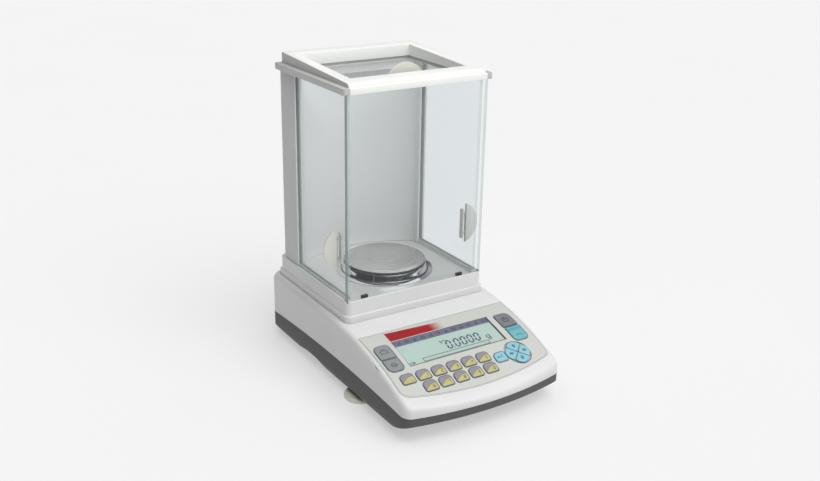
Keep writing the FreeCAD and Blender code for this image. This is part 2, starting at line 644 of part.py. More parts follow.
def make_handle(node, place, turn_axis, turn_angle):
    """A half moon outside the glass, a plate inside, and the two necks that join them through it.

    Drawn with the moon along X and standing up Z; the glass lies between z = -thickness and 0.
    """
    thickness = place.pop("thickness")
    body = new_body(node, **place)
    section = [
        ("-moon_half", "0.02"), ("moon_half", "0.02"),
        ("arc", "((moon_half ^ 2 + moon_height ^ 2) / (2 * moon_height))", 1),
    ]
    pad(body, draw(new_sketch(body, "XZ_Plane"), section), "moon_thickness", symmetric=True)
    neck = new_sketch(body, height=f"-{thickness} - clamp_thickness")
    for x in ("-12", "12"):
        draw_circle(neck, x, "0", "pin_half - 1.6")
    pad(body, neck, f"{thickness} + clamp_thickness + 1")
    plate = rounded("-clamp_half", "clamp_half", "-clamp_width / 2", "clamp_width / 2", "2")
    pad(body, draw(new_sketch(body, height=f"-{thickness} - clamp_thickness - 0.02"), plate),
        "clamp_thickness")
    body.Placement.Rotation = FreeCAD.Rotation(turn_axis, turn_angle)
    return keep(node, body)


def drill_for_handle(body, along, across, plane_height, depth, plane):
    sketch = new_sketch(body, plane, plane_height)
    for shift in (-12, 12):
        if plane == "YZ_Plane":
            draw_circle(sketch, across, f"{along} + {shift}", "pin_half - 1.5")
        else:
            draw_circle(sketch, f"{along} + {shift}", across, "pin_half - 1.5")
    return pocket(body, sketch, depth, symmetric=plane == "YZ_Plane")


def make_doors():
    for name, side in (("left", "-1"), ("right", "1")):
        node = f"{name}_door_glass"
        body = new_body(node, x=f"{side} * door_x")
        path = rectangle("-door_thickness / 2", "door_thickness / 2", "door_front", "door_back")
        pad(body, draw(new_sketch(body, height="door_bottom"), path), "door_top - door_bottom")
        drill_for_handle(body, "side_handle_z", "side_handle_y", "0", "door_thickness + 2", "YZ_Plane")
        keep(node, body)
    turn = FreeCAD.Vector(0, 1, 0)
    place = {"thickness": "door_thickness", "y": "side_handle_y", "z": "side_handle_z"}
    make_handle("left_door_handle", dict(place, x="-door_x - door_thickness / 2"), turn, -90)
    make_handle("right_door_handle", dict(place, x="door_x + door_thickness / 2"), turn, 90)
    top = slab("top_door_glass", rectangle("-top_door_half", "top_door_half", "top_door_front",
                                           "top_door_back"), "top_door_z", "top_door_thickness")
    drill_for_handle(top, "0", "top_handle_y", "top_door_z + top_door_thickness", "top_door_thickness",
                     "XY_Plane")
    keep("top_door_glass", top)
    make_handle("top_door_handle", {"thickness": "top_door_thickness", "y": "top_handle_y",
                                    "z": "top_door_z + top_door_thickness"}, turn, 0)


# ---- weighing pan and cell -----------------------------------------------------------------------


def make_pan():
    """A turned pan of sheet steel with a socket that drops over the carrier's post."""
    body = new_body("weighing_pan", y="pan_y")
    spin(body, [
        ("post_radius + 0.05", "post_top + 0.4"), ("0", "post_top + 0.4"), ("0", "pan_top"),
        ("pan_flat", "pan_top"), ("pan_radius", "pan_rim_top"), ("pan_radius", "pan_rim_bottom"),
        ("pan_radius - pan_sheet", "pan_rim_bottom"), ("pan_radius - pan_sheet", "pan_rim_top - 0.6"),
        ("pan_flat", "pan_top - pan_sheet"), ("socket_radius", "pan_top - pan_sheet"),
        ("socket_radius", "socket_bottom"), ("post_radius + 0.05", "socket_bottom"),
    ])
    return keep("weighing_pan", body)


def make_shield_ring():
    """The flared ring around the pan, spun from thin sheet."""
    body = new_body("shield_ring", y="pan_y")
    spin(body, [
        ("ring_foot", "plate_top"), ("ring_foot", "plate_top + ring_sheet"),
        ("ring_knee + 1.6", "plate_top + 1.6"), ("ring_knee", "ring_knee_z"),
        ("ring_mouth + 1", "ring_top - 0.8"), ("ring_mouth", "ring_top"),
        ("ring_mouth - ring_sheet", "ring_top - 0.6"), ("ring_knee - ring_sheet", "ring_knee_z - 0.4"),
        ("ring_knee + 0.8", "plate_top"),
    ])
    return keep("shield_ring", body)


def make_cell():
    """The force cell: frame, magnet, flexures and lever, and the carrier that the pan stands on."""
    frame = slab("cell_frame", rectangle("-26", "26", "36", "142"), "sill_z", "26 - sill_z")
    pad(frame, draw(new_sketch(frame, height="26"), rectangle("-26", "26", "122", "142")), "42")
    cut_box(frame, "-12", "12", "119", "135", "40", "56")
    keep("cell_frame", frame)
    magnet = new_body("magnet_pot", y="100")
    spin(magnet, [("0", "26"), ("15", "26"), ("15", "44"), ("9", "44"), ("9", "34"), ("7", "34"),
                  ("7", "44"), ("0", "44")])
    keep("magnet_pot", magnet)
    flexures = new_body("cell_flexures")
    for height in ("31", "63"):
        strips = new_sketch(flexures, height=height)
        for side in (-1, 1):
            low, high = sorted([side * 17, side * 24])
            draw(strips, rectangle(str(low), str(high), "66.05", "122"))
        pad(flexures, strips, "0.8")
    keep("cell_flexures", flexures)
    beam = slab("balance_beam", rectangle("-4", "4", "67", "134"), "46", "7")
    keep("balance_beam", beam)
    carrier = slab("pan_carrier", rectangle("-24", "24", "48", "66"), "28", "40")
    cut_box(carrier, "-16", "16", "47", "67", "34", "62")
    add_round(carrier, "0", "pan_y", "8", "68", "14")
    add_round(carrier, "0", "pan_y", "post_radius", "82", "post_top - 82")
    keep("pan_carrier", carrier)


# ---- display and keypad --------------------------------------------------------------------------

NUMBER_PITCH_X = 19.25
NUMBER_LEFT = -78.8
ROWS = {"1": (131.0, 0, 6), "2": (146.6, 1, 5)}
NUMBER_SIZE = (15.8, 13.4)
NUMBER_CORNERS = (2.4, 2.4, 3.6, 5.6)
KEY_CORNERS = {
    "print_key": (1.5, 1.5, 4.0, 8.0), "unit_key": (6.5, 6.5, 1.5, 1.5),
    "power_key": (1.5, 1.5, 7.0, 4.0), "tare_key": (5.5, 6.5, 1.5, 1.5),
    "enter_key": (2.4, 2.4, 2.4, 6.0),
}


def key_table():
    """Every rectangular key: name, x and arc of its middle, width and length."""
    keys = [
        ("print_key", -82.2, 87.6, 19.2, 22.0), ("unit_key", -82.2, 108.7, 19.2, 18.4),
        ("power_key", 78.2, 88.0, 20.0, 22.4), ("tare_key", 78.6, 111.6, 19.6, 22.4),
        ("enter_key", 37.0, 137.4, 15.2, 13.4),
    ]
    count = 0
    for arc, first, amount in ROWS.values():
        for column in range(first, first + amount):
            count += 1
            x = NUMBER_LEFT + NUMBER_PITCH_X * column
            keys.append((f"number_key_{count:02d}", x, arc, *NUMBER_SIZE))
    return keys


def tab(x0, x1, y0, y1, radii, grow="0"):
    """A rectangle with its own corner radii: low left, low right, high right, high left."""
    low_left, low_right, high_right, high_left = (f"({radius} + {grow})" for radius in radii)
    return [
        (f"{x0} + {low_left}", y0), (f"{x1} - {low_right}", y0), ("arc", low_right, 1),
        (x1, f"{y0} + {low_right}"), (x1, f"{y1} - {high_right}"), ("arc", high_right, 1),
        (f"{x1} - {high_right}", y1), (f"{x0} + {high_left}", y1), ("arc", high_left, 1),
        (x0, f"{y1} - {high_left}"), (x0, f"{y0} + {low_left}"), ("arc", low_left, 1),
    ]


PETAL_BULGE = 0.72


def petal_path(direction, radius, gap):
    """One quarter of the arrow cluster, pointing away from the middle along direction."""
    reach = f"(({radius}) * cos(45))"
    side = f"({reach} - {gap} * 1.4)"
    near = f"({gap} * 1.4 + 0.8)"
    points = {
        "up": [(f"0 - {side}", reach), ("-0.8", near), ("0.8", near), (side, reach)],
        "left": [(f"0 - {reach}", f"0 - {side}"), (f"0 - {near}", "-0.8"), (f"0 - {near}", "0.8"),
                 (f"0 - {reach}", side)],
        "down": [(side, f"0 - {reach}"), ("0.8", f"0 - {near}"), ("-0.8", f"0 - {near}"),
                 (f"0 - {side}", f"0 - {reach}")],
        "right": [(reach, side), (near, "0.8"), (near, "-0.8"), (reach, f"0 - {side}")],
    }
    return [*points[direction], ("arc", f"({radius}) * {PETAL_BULGE}", 1)]


def key_body(node, path, x, arc):
    """A key cap standing on the deck, square to it."""
    body = slab(node, path, "0 - key_bottom", "key_bottom + key_top")
    tilt(body, x, arc)
    return keep(node, body)


def make_keys(overlay):
    """The key caps, and their windows in the overlay."""
    for node, x, arc, width, length in key_table():
        half_w, half_l = f"({width} / 2)", f"({length} / 2)"
        radii = KEY_CORNERS.get(node, NUMBER_CORNERS)
        key_body(node, tab(f"-{half_w}", half_w, f"-{half_l}", half_l, radii), str(x), str(arc))
        near = deck_y(f"({arc} + {half_l} + window_gap)")
        far = deck_y(f"({arc} - {half_l} - window_gap)")
        window = tab(f"({x} - {half_w} - window_gap)", f"({x} + {half_w} + window_gap)", near, far,
                     radii, "window_gap")
        pocket(overlay, draw(new_sketch(overlay, height="deck_z + 5"), window), "deck_z")
    for direction in ("up", "down", "left", "right"):
        key_body(f"arrow_{direction}_key", petal_path(direction, "cluster_radius", "cluster_gap"),
                 "cluster_x", "cluster_arc")
    cluster = new_sketch(overlay, height="deck_z + 5")
    draw_circle(cluster, "cluster_x", deck_y("cluster_arc"), "cluster_hole")
    pocket(overlay, cluster, "deck_z")


def make_keypad():
    overlay = deck_layer("keypad_overlay", "(0 - film_bottom)", "film_proud", "0.15")
    pocket(overlay, draw(new_sketch(overlay, height="deck_z + 5"), screen_outline("0")), "deck_z")
    make_keys(overlay)
    keep("keypad_overlay", overlay)
    membrane = deck_layer("keypad_membrane", "(0 - recess)", "(0 - membrane_top)", "0.15")
    pocket(membrane, draw(new_sketch(membrane, height="deck_z + 5"), screen_outline("1")), "deck_z")
    keep("keypad_membrane", membrane)
    domes = doc.addObject("Part::Compound", "key_domes")
    spots = [(x, arc) for _, x, arc, _, _ in key_table()]
    arm = DIMENSIONS["cluster_radius"] * 0.6
    middle = (DIMENSIONS["cluster_x"], DIMENSIONS["cluster_arc"])
    spots += [(middle[0] + dx * arm, middle[1] + da * arm) for dx, da in ((0, -1), (0, 1), (-1, 0), (1, 0))]
    discs = []
    for x, arc in spots:
        disc = doc.addObject("Part::Cylinder", "dome")
        disc.setExpression("Radius", bind("dome_radius"))
        disc.setExpression("Height", bind("membrane_top - dome_top"))
        tilt(disc, str(x), str(arc), "(0 - membrane_top + 0.03)")
        discs.append(disc)
    domes.Links = discs
    keep("key_domes", domes)


def make_display():
    """Window, liquid crystal module and its board, all flat and square to the deck."""
    for node, margin, bottom, thickness in (
        ("display_window", "-0.3", "-1.7", "1.2"), ("lcd_module", "-1.5", "-5.4", "3.4"),
        ("display_board", "0.2", "-8.0", "1.6"),
    ):
        half_w, half_l = f"(screen_width / 2 + {margin})", f"(screen_length / 2 + {margin})"
        body = slab(node, rectangle(f"-{half_w}", half_w, f"-{half_l}", half_l), bottom, thickness)
        tilt(body, "screen_x", "screen_arc")
        keep(node, body)


def make_main_board():
    """The main circuit board, with its larger components in one piece with it."""
    board = slab("main_board", rectangle("-70", "70", "-100", "-18"), "28", "1.6")
    parts = new_sketch(board, height="29.6")
    draw(parts, rectangle("-20", "8", "-70", "-42"))
    draw(parts, rectangle("30", "62", "-95", "-75"))
    draw(parts, rectangle("-62", "-40", "-60", "-30"))
    pad(board, parts, "4")
    posts = new_sketch(board, height="floor_z")
    for x in ("-64", "64"):
        for y in ("-94", "-24"):
            draw_circle(posts, x, y, "3")
    pad(board, posts, "28 - floor_z")
    return keep("main_board", board)


# ---- rear connections ----------------------------------------------------------------------------


def round_bar(name, radius, start, length, x, z):
    """A plain cylinder lying along Y."""
    bar = doc.addObject("Part::Cylinder", name)
    bar.Placement.Rotation = FreeCAD.Rotation(FreeCAD.Vector(1, 0, 0), -90)
    bar.setExpression("Radius", bind(radius))
    bar.setExpression("Height", bind(length))
    for axis, value in zip("xyz", (x, start, z)):
        bar.setExpression(f"Placement.Base.{axis}", bind(value))
    return bar


def block(name, x, y, z, width, depth, height):
    """A plain box, centred on x and z, starting at y."""
    box = doc.addObject("Part::Box", name)
    for field, value in (("Length", width), ("Width", depth), ("Height", height)):
        box.setExpression(field, bind(value))
    corner = (f"({x}) - ({width}) / 2", y, f"({z}) - ({height}) / 2")
    for axis, value in zip("xyz", corner):
        box.setExpression(f"Placement.Base.{axis}", bind(value))
    return box


def boolean(kind, name, base, tool):
    result = doc.addObject(f"Part::{kind}", name)
    result.Base = base
    result.Tool = tool
    return result


def make_rear_connections():
    middle = "(panel_bottom + panel_top) / 2"
    plate = block("panel_plate", "0", "panel_face - panel_thickness", middle, "2 * panel_half - 0.4",
                  "panel_thickness", "panel_top - panel_bottom - 0.4")
    power_hole = round_bar("power_hole", "5.6", "panel_face - 5", "10", "power_x", "port_z")
    serial_hole = block("serial_hole", "serial_x", "panel_face - 5", "port_z", "18.4", "10", "9.4")
    panel = boolean("Cut", "panel_cut", boolean("Cut", "panel_cut_one", plate, power_hole), serial_hole)
    keep("rear_panel", panel)
    barrel = round_bar("barrel", "5.5", "panel_face - 12", "15", "power_x", "port_z")
    flange = round_bar("flange", "7.5", "panel_face - 4", "2", "power_x", "port_z")
    bore = round_bar("bore", "3.1", "panel_face - 8", "12", "power_x", "port_z")
    contact = round_bar("contact", "1", "panel_face - 8.5", "10", "power_x", "port_z")
    socket = boolean("Cut", "socket_bored", boolean("Fuse", "socket_solid", barrel, flange), bore)
    keep("power_socket", boolean("Fuse", "socket_done", socket, contact))
    shell = block("port_shell", "serial_x", "panel_face - 4", "port_z", "18", "7.2", "9")
    mouth = block("port_mouth", "serial_x", "panel_face - 1", "port_z", "16.6", "5", "7.6")
    rim = block("port_rim", "serial_x", "panel_face - 3.2", "port_z", "31", "1.2", "12.5")
    port = boolean("Fuse", "port_solid", boolean("Cut", "port_bored", shell, mouth), rim)
    keep("serial_port", port)


def make_level():
    """The round spirit level behind the column."""
    rim = new_body("level_bezel", x="72", y="147.1")
    spin(rim, [("3.2", "plinth_top - 3"), ("3.8", "plinth_top - 3"), ("3.8", "plinth_top"),
               ("4.3", "plinth_top"), ("4.3", "plinth_top + 0.8"), ("3.2", "plinth_top + 0.8")])
    keep("level_bezel", rim)
    vial = new_body("level_vial", x="72", y="147.1")
    spin(vial, [("0", "plinth_top - 2.8"), ("3.15", "plinth_top - 2.8"), ("3.15", "plinth_top + 0.4"),
                ("0", "plinth_top + 0.6")])
    keep("level_vial", vial)


def check_and_export():
    """Stops on any failed object, then writes one STEP file per sub-part."""
    doc.recompute()
    failed = [thing.Label for thing in doc.Objects if {"Invalid", "Error"} & set(thing.State)]
    if failed:
        raise RuntimeError(f"failed objects: {failed}")
    for node, thing in SUBPARTS.items():
        if thing.Shape.isNull() or not thing.Shape.isValid():
            raise RuntimeError(f"{node} has no valid shape")
    os.makedirs("parts", exist_ok=True)
    for node, thing in SUBPARTS.items():
        thing.Shape.exportStep(f"parts/{node}.step")
    print(len(SUBPARTS), "sub-parts")


make_base_shell()
make_upper_housing()
make_feet()
make_housing_screws()
make_plinth()
make_floor_plate()
make_column()
make_top_frame()
make_fixed_glass()
make_door_tracks()
make_glass_clips()
make_doors()
make_pan()
make_shield_ring()
make_cell()
make_keypad()
make_display()
make_main_board()
make_rear_connections()
make_level()
check_and_export()
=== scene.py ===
import json
import math

import bmesh
import bpy
from mathutils import Matrix, Vector


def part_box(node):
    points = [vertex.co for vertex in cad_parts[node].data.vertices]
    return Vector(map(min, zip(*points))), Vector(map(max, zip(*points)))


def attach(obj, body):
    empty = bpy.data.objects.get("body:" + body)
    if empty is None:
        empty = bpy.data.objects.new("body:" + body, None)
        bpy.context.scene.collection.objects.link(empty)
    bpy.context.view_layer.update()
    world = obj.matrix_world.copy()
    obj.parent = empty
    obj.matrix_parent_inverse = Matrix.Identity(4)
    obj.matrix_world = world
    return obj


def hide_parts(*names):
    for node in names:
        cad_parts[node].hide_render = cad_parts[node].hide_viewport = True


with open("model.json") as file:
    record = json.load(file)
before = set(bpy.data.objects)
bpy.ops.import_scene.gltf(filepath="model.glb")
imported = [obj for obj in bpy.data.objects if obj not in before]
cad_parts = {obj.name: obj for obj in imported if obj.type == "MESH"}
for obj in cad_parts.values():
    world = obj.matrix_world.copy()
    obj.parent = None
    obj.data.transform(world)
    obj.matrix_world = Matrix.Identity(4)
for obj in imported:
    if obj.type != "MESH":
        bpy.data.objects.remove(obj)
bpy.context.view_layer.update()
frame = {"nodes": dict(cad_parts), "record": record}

# Analytical balance.  Metres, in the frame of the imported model: +X is the operator's right,
# +Y points to the back and +Z is up.  The deck under the keypad is a cylinder about an X axis;
# "arc" is the distance along it towards the front from the line where the deck turns level.

MM = 0.001
NODES = frame["nodes"]
BODY_OF = {node: body for body, members in frame["record"]["behaviour"]["bodies"].items()
           for node in members}
SLOT_OF = {part["node"]: part["material_slot"] for part in frame["record"]["subparts"]}

DECK_RADIUS = 360 * MM
DECK_TANGENT_Y = 7 * MM
DECK_Z = 80 * MM
COLUMN_SIDE_X = 88.4 * MM
FRAME_SIDE_X = 86.2 * MM

# ---- materials -----------------------------------------------------------------------------------


def srgb(red, green, blue):
    """A display colour from 0 to 255 as scene-linear values."""
    def linear(value):
        value /= 255
        return value / 12.92 if value <= 0.04045 else ((value + 0.055) / 1.055) ** 2.4
    return (linear(red), linear(green), linear(blue), 1.0)


class Shader:
    """A node material with a Principled shader, and the few node chains used here."""

    def __init__(self, name):
        self.material = bpy.data.materials.new(name)
        self.material.use_nodes = True
        self.tree = self.material.node_tree
        self.bsdf = self.tree.nodes["Principled BSDF"]
        self.output = self.tree.nodes["Material Output"]
        self.place = self.add("ShaderNodeTexCoord").outputs["Object"]

    def add(self, kind, **settings):
        node = self.tree.nodes.new(kind)
        for key, value in settings.items():
            setattr(node, key, value)
        return node

    def link(self, source, target):
        self.tree.links.new(source, target)

    def set(self, **values):
        for key, value in values.items():
            self.bsdf.inputs[key.replace("_", " ")].default_value = value
        return self

    def mapped(self, stretch=(1, 1, 1), turn=(0, 0, 0), shift=(0, 0, 0)):
        node = self.add("ShaderNodeMapping")
        node.inputs["Scale"].default_value = stretch
        node.inputs["Rotation"].default_value = turn
        node.inputs["Location"].default_value = shift
        self.link(self.place, node.inputs["Vector"])
        return node.outputs["Vector"]

    def noise(self, scale, detail=3.0, stretch=(1, 1, 1), roughness=0.5):
        node = self.add("ShaderNodeTexNoise")
        node.inputs["Scale"].default_value = scale
        node.inputs["Detail"].default_value = detail
        node.inputs["Roughness"].default_value = roughness
        self.link(self.mapped(stretch), node.inputs["Vector"])
        return node.outputs["Fac"]

    def ramp(self, factor, stops):
        """A colour ramp from (position, colour) stops."""
        node = self.add("ShaderNodeValToRGB")
        elements = node.color_ramp.elements
        while len(elements) < len(stops):
            elements.new(1.0)
        for element, (position, colour) in zip(elements, stops):
            element.position = position
            element.color = colour
        self.link(factor, node.inputs["Fac"])
        return node.outputs["Color"]

    def level(self, factor, low, high):
        """Remaps a 0 to 1 factor to the range from low to high."""
        node = self.add("ShaderNodeMapRange")
        node.inputs["To Min"].default_value = low
        node.inputs["To Max"].default_value = high
        self.link(factor, node.inputs["Value"])
        return node.outputs["Result"]

    def bump(self, height, strength, distance):
        node = self.add("ShaderNodeBump")
        node.inputs["Strength"].default_value = strength
        node.inputs["Distance"].default_value = distance
        self.link(height, node.inputs["Height"])
        self.link(node.outputs["Normal"], self.bsdf.inputs["Normal"])

    def colour(self, socket):
        self.link(socket, self.bsdf.inputs["Base Color"])

    def rough(self, socket):
        self.link(socket, self.bsdf.inputs["Roughness"])


def shade(colour, factor):
    """The colour made lighter or darker by a factor."""
    return (*[min(channel * factor, 1.0) for channel in colour[:3]], 1.0)


def moulded(name, colour, roughness=0.42, grain=1400.0, depth=0.05, variation=0.03):
    """Moulded plastic: faint mottling, a fine spark-eroded grain, and uneven gloss."""
    shader = Shader(name)
    tones = [(0.3, shade(colour, 1 - variation)), (0.7, shade(colour, 1 + variation))]
    shader.colour(shader.ramp(shader.noise(9.0, 4.0), tones))
    shader.rough(shader.level(shader.noise(60.0, 3.0), roughness - 0.05, roughness + 0.06))
    shader.bump(shader.noise(grain, 2.0), depth, 0.0004)
    return shader.material


def moulded_with_painted_side_shade(name, inside, outside, border):
    """Moulded plastic with painted shade: its two outer sides, past the border along X, are darker.
    """
    shader = Shader(name)
    split = shader.add("ShaderNodeSeparateXYZ")
    shader.link(shader.place, split.inputs["Vector"])
    reach = shader.add("ShaderNodeMath", operation="ABSOLUTE")
    shader.link(split.outputs["X"], reach.inputs[0])
    past = shader.add("ShaderNodeMath", operation="GREATER_THAN")
    past.inputs[1].default_value = border
    shader.link(reach.outputs["Value"], past.inputs[0])
    clouds = shader.noise(9.0, 4.0)
    pale = shader.ramp(clouds, [(0.3, shade(inside, 0.98)), (0.7, shade(inside, 1.01))])
    dark = shader.ramp(clouds, [(0.3, shade(outside, 0.96)), (0.7, shade(outside, 1.03))])
    # Past the border the colour is painted shade, not a second paint.
    mix = shader.add("ShaderNodeMix", data_type="RGBA")
    shader.link(past.outputs["Value"], mix.inputs["Factor"])
    shader.link(pale, mix.inputs["A"])
    shader.link(dark, mix.inputs["B"])
    shader.colour(mix.outputs["Result"])
    shader.rough(shader.level(shader.noise(60.0, 3.0), 0.4, 0.5))
    shader.bump(shader.noise(900.0, 2.0), 0.03, 0.0004)
    return shader.material


def brushed(name, colour, roughness=0.3, stretch=(4, 400, 400), depth=0.12, metallic=1.0):
    """Brushed metal: long fine scratches in one direction."""
    shader = Shader(name).set(Metallic=metallic)
    lines = shader.noise(3.0, 5.0, stretch, 0.7)
    shader.colour(shader.ramp(lines, [(0.3, shade(colour, 0.9)), (0.7, shade(colour, 1.08))]))
    shader.rough(shader.level(lines, roughness - 0.07, roughness + 0.09))
    shader.bump(lines, depth, 0.0002)
    return shader.material


def turned(name, colour, centre, roughness=0.25, metallic=0.7):
    """Metal turned on a lathe: fine rings about a vertical axis through centre."""
    shader = Shader(name).set(Metallic=metallic)
    place = shader.mapped(shift=(-centre[0], -centre[1], 0))
    flat = shader.add("ShaderNodeVectorMath", operation="MULTIPLY")
    flat.inputs[1].default_value = (1, 1, 0)
    shader.link(place, flat.inputs[0])
    reach = shader.add("ShaderNodeVectorMath", operation="LENGTH")
    shader.link(flat.outputs["Vector"], reach.inputs[0])
    rings = shader.add("ShaderNodeTexNoise", noise_dimensions="1D")
    rings.inputs["Scale"].default_value = 2200.0
    rings.inputs["Detail"].default_value = 4.0
    shader.link(reach.outputs["Value"], rings.inputs["W"])
    lines = rings.outputs["Fac"]
    shader.colour(shader.ramp(lines, [(0.3, shade(colour, 0.93)), (0.7, shade(colour, 1.05))]))
    shader.rough(shader.level(lines, roughness - 0.05, roughness + 0.08))
    shader.bump(lines, 0.08, 0.0002)
    return shader.material


def polished(name, colour, roughness=0.06):
    """Bright metal with a very slightly uneven polish."""
    shader = Shader(name).set(Metallic=1.0)
    clouds = shader.noise(40.0, 4.0)
    shader.colour(shader.ramp(clouds, [(0.3, shade(colour, 0.97)), (0.7, colour)]))
    shader.rough(shader.level(clouds, roughness * 0.7, roughness * 1.5))
    return shader.material


def clear_glass(name, tint, gloss=1.0, haze=0.035):
    """A pane seen square on: light goes straight through, and it mirrors more at grazing angles."""
    shader = Shader(name)
    see = shader.add("ShaderNodeBsdfTransparent")
    smear = shader.noise(14.0, 3.0)
    shader.link(shader.ramp(smear, [(0.3, shade(tint, 0.995)), (0.7, tint)]), see.inputs["Color"])
    mirror = shader.add("ShaderNodeBsdfGlossy")
    mirror.inputs["Roughness"].default_value = 0.02
    facing = shader.add("ShaderNodeLayerWeight")
    facing.inputs["Blend"].default_value = 0.5
    grazing = shader.add("ShaderNodeMath", operation="POWER")
    grazing.inputs[1].default_value = 5.0
    shader.link(facing.outputs["Facing"], grazing.inputs[0])
    amount = shader.add("ShaderNodeMath", operation="MULTIPLY_ADD")
    amount.inputs[1].default_value = gloss * 0.9
    amount.inputs[2].default_value = haze
    shader.link(grazing.outputs["Value"], amount.inputs[0])
    mix = shader.add("ShaderNodeMixShader")
    shader.link(amount.outputs["Value"], mix.inputs["Fac"])
    shader.link(see.outputs["BSDF"], mix.inputs[1])
    shader.link(mirror.outputs["BSDF"], mix.inputs[2])
    shader.link(mix.outputs["Shader"], shader.output.inputs["Surface"])
    shader.tree.nodes.remove(shader.bsdf)
    return shader.material


def glass_edge(name, colour, clear):
    """The polished edge of a pane: the green of the glass behind it, partly seen through."""
    shader = Shader(name).set(Roughness=0.15, Specular_IOR_Level=0.6)
    streaks = shader.noise(6.0, 4.0, (120, 120, 2))
    shader.colour(shader.ramp(streaks, [(0.3, shade(colour, 0.85)), (0.7, shade(colour, 1.12))]))
    see = shader.add("ShaderNodeBsdfTransparent")
    see.inputs["Color"].default_value = (0.92, 0.96, 0.95, 1)
    mix = shader.add("ShaderNodeMixShader")
    mix.inputs["Fac"].default_value = clear
    shader.link(shader.bsdf.outputs["BSDF"], mix.inputs[1])
    shader.link(see.outputs["BSDF"], mix.inputs[2])
    shader.link(mix.outputs["Shader"], shader.output.inputs["Surface"])
    return shader.material


def printed(name, colour, roughness=0.35, variation=0.03):
    """Screen-printed ink on film."""
    shader = Shader(name)
    tones = [(0.3, shade(colour, 1 - variation)), (0.7, shade(colour, 1 + variation))]
    shader.colour(shader.ramp(shader.noise(220.0, 3.0), tones))
    shader.rough(shader.level(shader.noise(900.0, 2.0), roughness - 0.04, roughness + 0.06))
    return shader.material


def fading_ink(name, colour, ground, start, end):
    """Ink that fades into the film between two places along X."""
    shader = Shader(name).set(Specular_IOR_Level=0.3)
    split = shader.add("ShaderNodeSeparateXYZ")
    shader.link(shader.place, split.inputs["Vector"])
    fade = shader.add("ShaderNodeMapRange")
    fade.inputs["From Min"].default_value = start
    fade.inputs["From Max"].default_value = end
    shader.link(split.outputs["X"], fade.inputs["Value"])
    stops = [(0.0, colour), (0.35, shade(colour, 1.1)), (1.0, ground)]
    shader.colour(shader.ramp(fade.outputs["Result"], stops))
    shader.rough(shader.level(shader.noise(900.0, 2.0), 0.3, 0.42))
    return shader.material


def liquid_crystal(name, colour):
    """The lit area of the display: pale green with a faint dot pitch and a soft cloudy unevenness."""
    shader = Shader(name).set(Roughness=0.22, Specular_IOR_Level=0.5)
    dots = shader.add("ShaderNodeTexChecker")
    dots.inputs["Scale"].default_value = 1500.0
    dots.inputs["Color1"].default_value = shade(colour, 0.985)
    dots.inputs["Color2"].default_value = shade(colour, 1.01)
    shader.link(shader.place, dots.inputs["Vector"])
    clouds = shader.ramp(shader.noise(16.0, 2.0), [(0.3, (0.95, 0.97, 0.96, 1)), (0.7, (1, 1, 1, 1))])
    mix = shader.add("ShaderNodeMix", data_type="RGBA", blend_type="MULTIPLY")
    mix.inputs["Factor"].default_value = 1.0
    shader.link(dots.outputs["Color"], mix.inputs["A"])
    shader.link(clouds, mix.inputs["B"])
    shader.colour(mix.outputs["Result"])
    return shader.material


FILM = srgb(192, 193, 188)
PAN_CENTRE = sum(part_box("weighing_pan"), Vector()) / 2

MATERIALS = {
    "shell_grey": moulded("shell_grey", srgb(76, 76, 78), 0.5, 1100.0, 0.1, 0.05),
    "housing_white": moulded("housing_white", srgb(213, 213, 213), 0.36),
    "plinth_white": moulded("plinth_white", srgb(214, 214, 214), 0.4),
    # The frame's and the column's outer side faces get painted shade.
    "frame_white": moulded_with_painted_side_shade("frame_white", srgb(243, 243, 240), srgb(190, 190, 189),
                                      FRAME_SIDE_X),
    "column_grey": moulded_with_painted_side_shade("column_grey", srgb(234, 234, 233), srgb(196, 196, 196),
                                      COLUMN_SIDE_X),
    "floor_steel": brushed("floor_steel", srgb(226, 225, 222), 0.42, (400, 6, 400), 0.06, 0.4),
    "pan_steel": turned("pan_steel", srgb(202, 200, 198), PAN_CENTRE),
    "ring_chrome": polished("ring_chrome", srgb(232, 232, 234)),
    "pane_glass": clear_glass("pane_glass", (0.958, 0.971, 0.976, 1)),
    "handle_cream": moulded("handle_cream", srgb(218, 217, 209), 0.4),
    "clip_dark": moulded("clip_dark", srgb(40, 40, 42), 0.5),
    "track_plastic": moulded("track_plastic", srgb(200, 202, 200), 0.4),
    "keypad_film": moulded("keypad_film", FILM, 0.4, 1800.0, 0.06, 0.015),
    "display_clear": clear_glass("display_clear", (0.96, 0.97, 0.96, 1), 0.8),
    "display_glass": moulded("display_glass", srgb(60, 66, 66), 0.4),
    "circuit_green": moulded("circuit_green", srgb(38, 62, 44), 0.45),
    "membrane": moulded("membrane", srgb(150, 154, 156), 0.45),
    "key_violet": printed("key_violet", srgb(136, 132, 142)),
    "key_grey": printed("key_grey", srgb(132, 136, 138)),
    "key_slate": printed("key_slate", srgb(112, 114, 118)),
    "key_turquoise": printed("key_turquoise", srgb(104, 170, 176)),
    "key_blue": printed("key_blue", srgb(134, 186, 200)),
    "foot_cream": moulded("foot_cream", srgb(222, 220, 208), 0.42),
    "foot_rubber": moulded("foot_rubber", srgb(34, 34, 34), 0.75, 800.0, 0.2, 0.1),
    "brass": brushed("brass", srgb(196, 160, 90), 0.3),
    "screw_steel": brushed("screw_steel", srgb(180, 180, 182), 0.3),
    "cell_aluminium": brushed("cell_aluminium", srgb(200, 200, 202), 0.35),
    "magnet_steel": brushed("magnet_steel", srgb(120, 120, 124), 0.4),
    "panel_grey": moulded("panel_grey", srgb(96, 97, 99), 0.55, 700.0, 0.25, 0.05),
    "socket_black": moulded("socket_black", srgb(24, 24, 25), 0.4),
    "port_steel": brushed("port_steel", srgb(170, 171, 172), 0.3),
    "vial_liquid": moulded("vial_liquid", srgb(196, 206, 96), 0.12),
    "bezel_steel": polished("bezel_steel", srgb(200, 200, 202), 0.15),
    "carrier_aluminium": brushed("carrier_aluminium", srgb(196, 196, 198), 0.32),
}
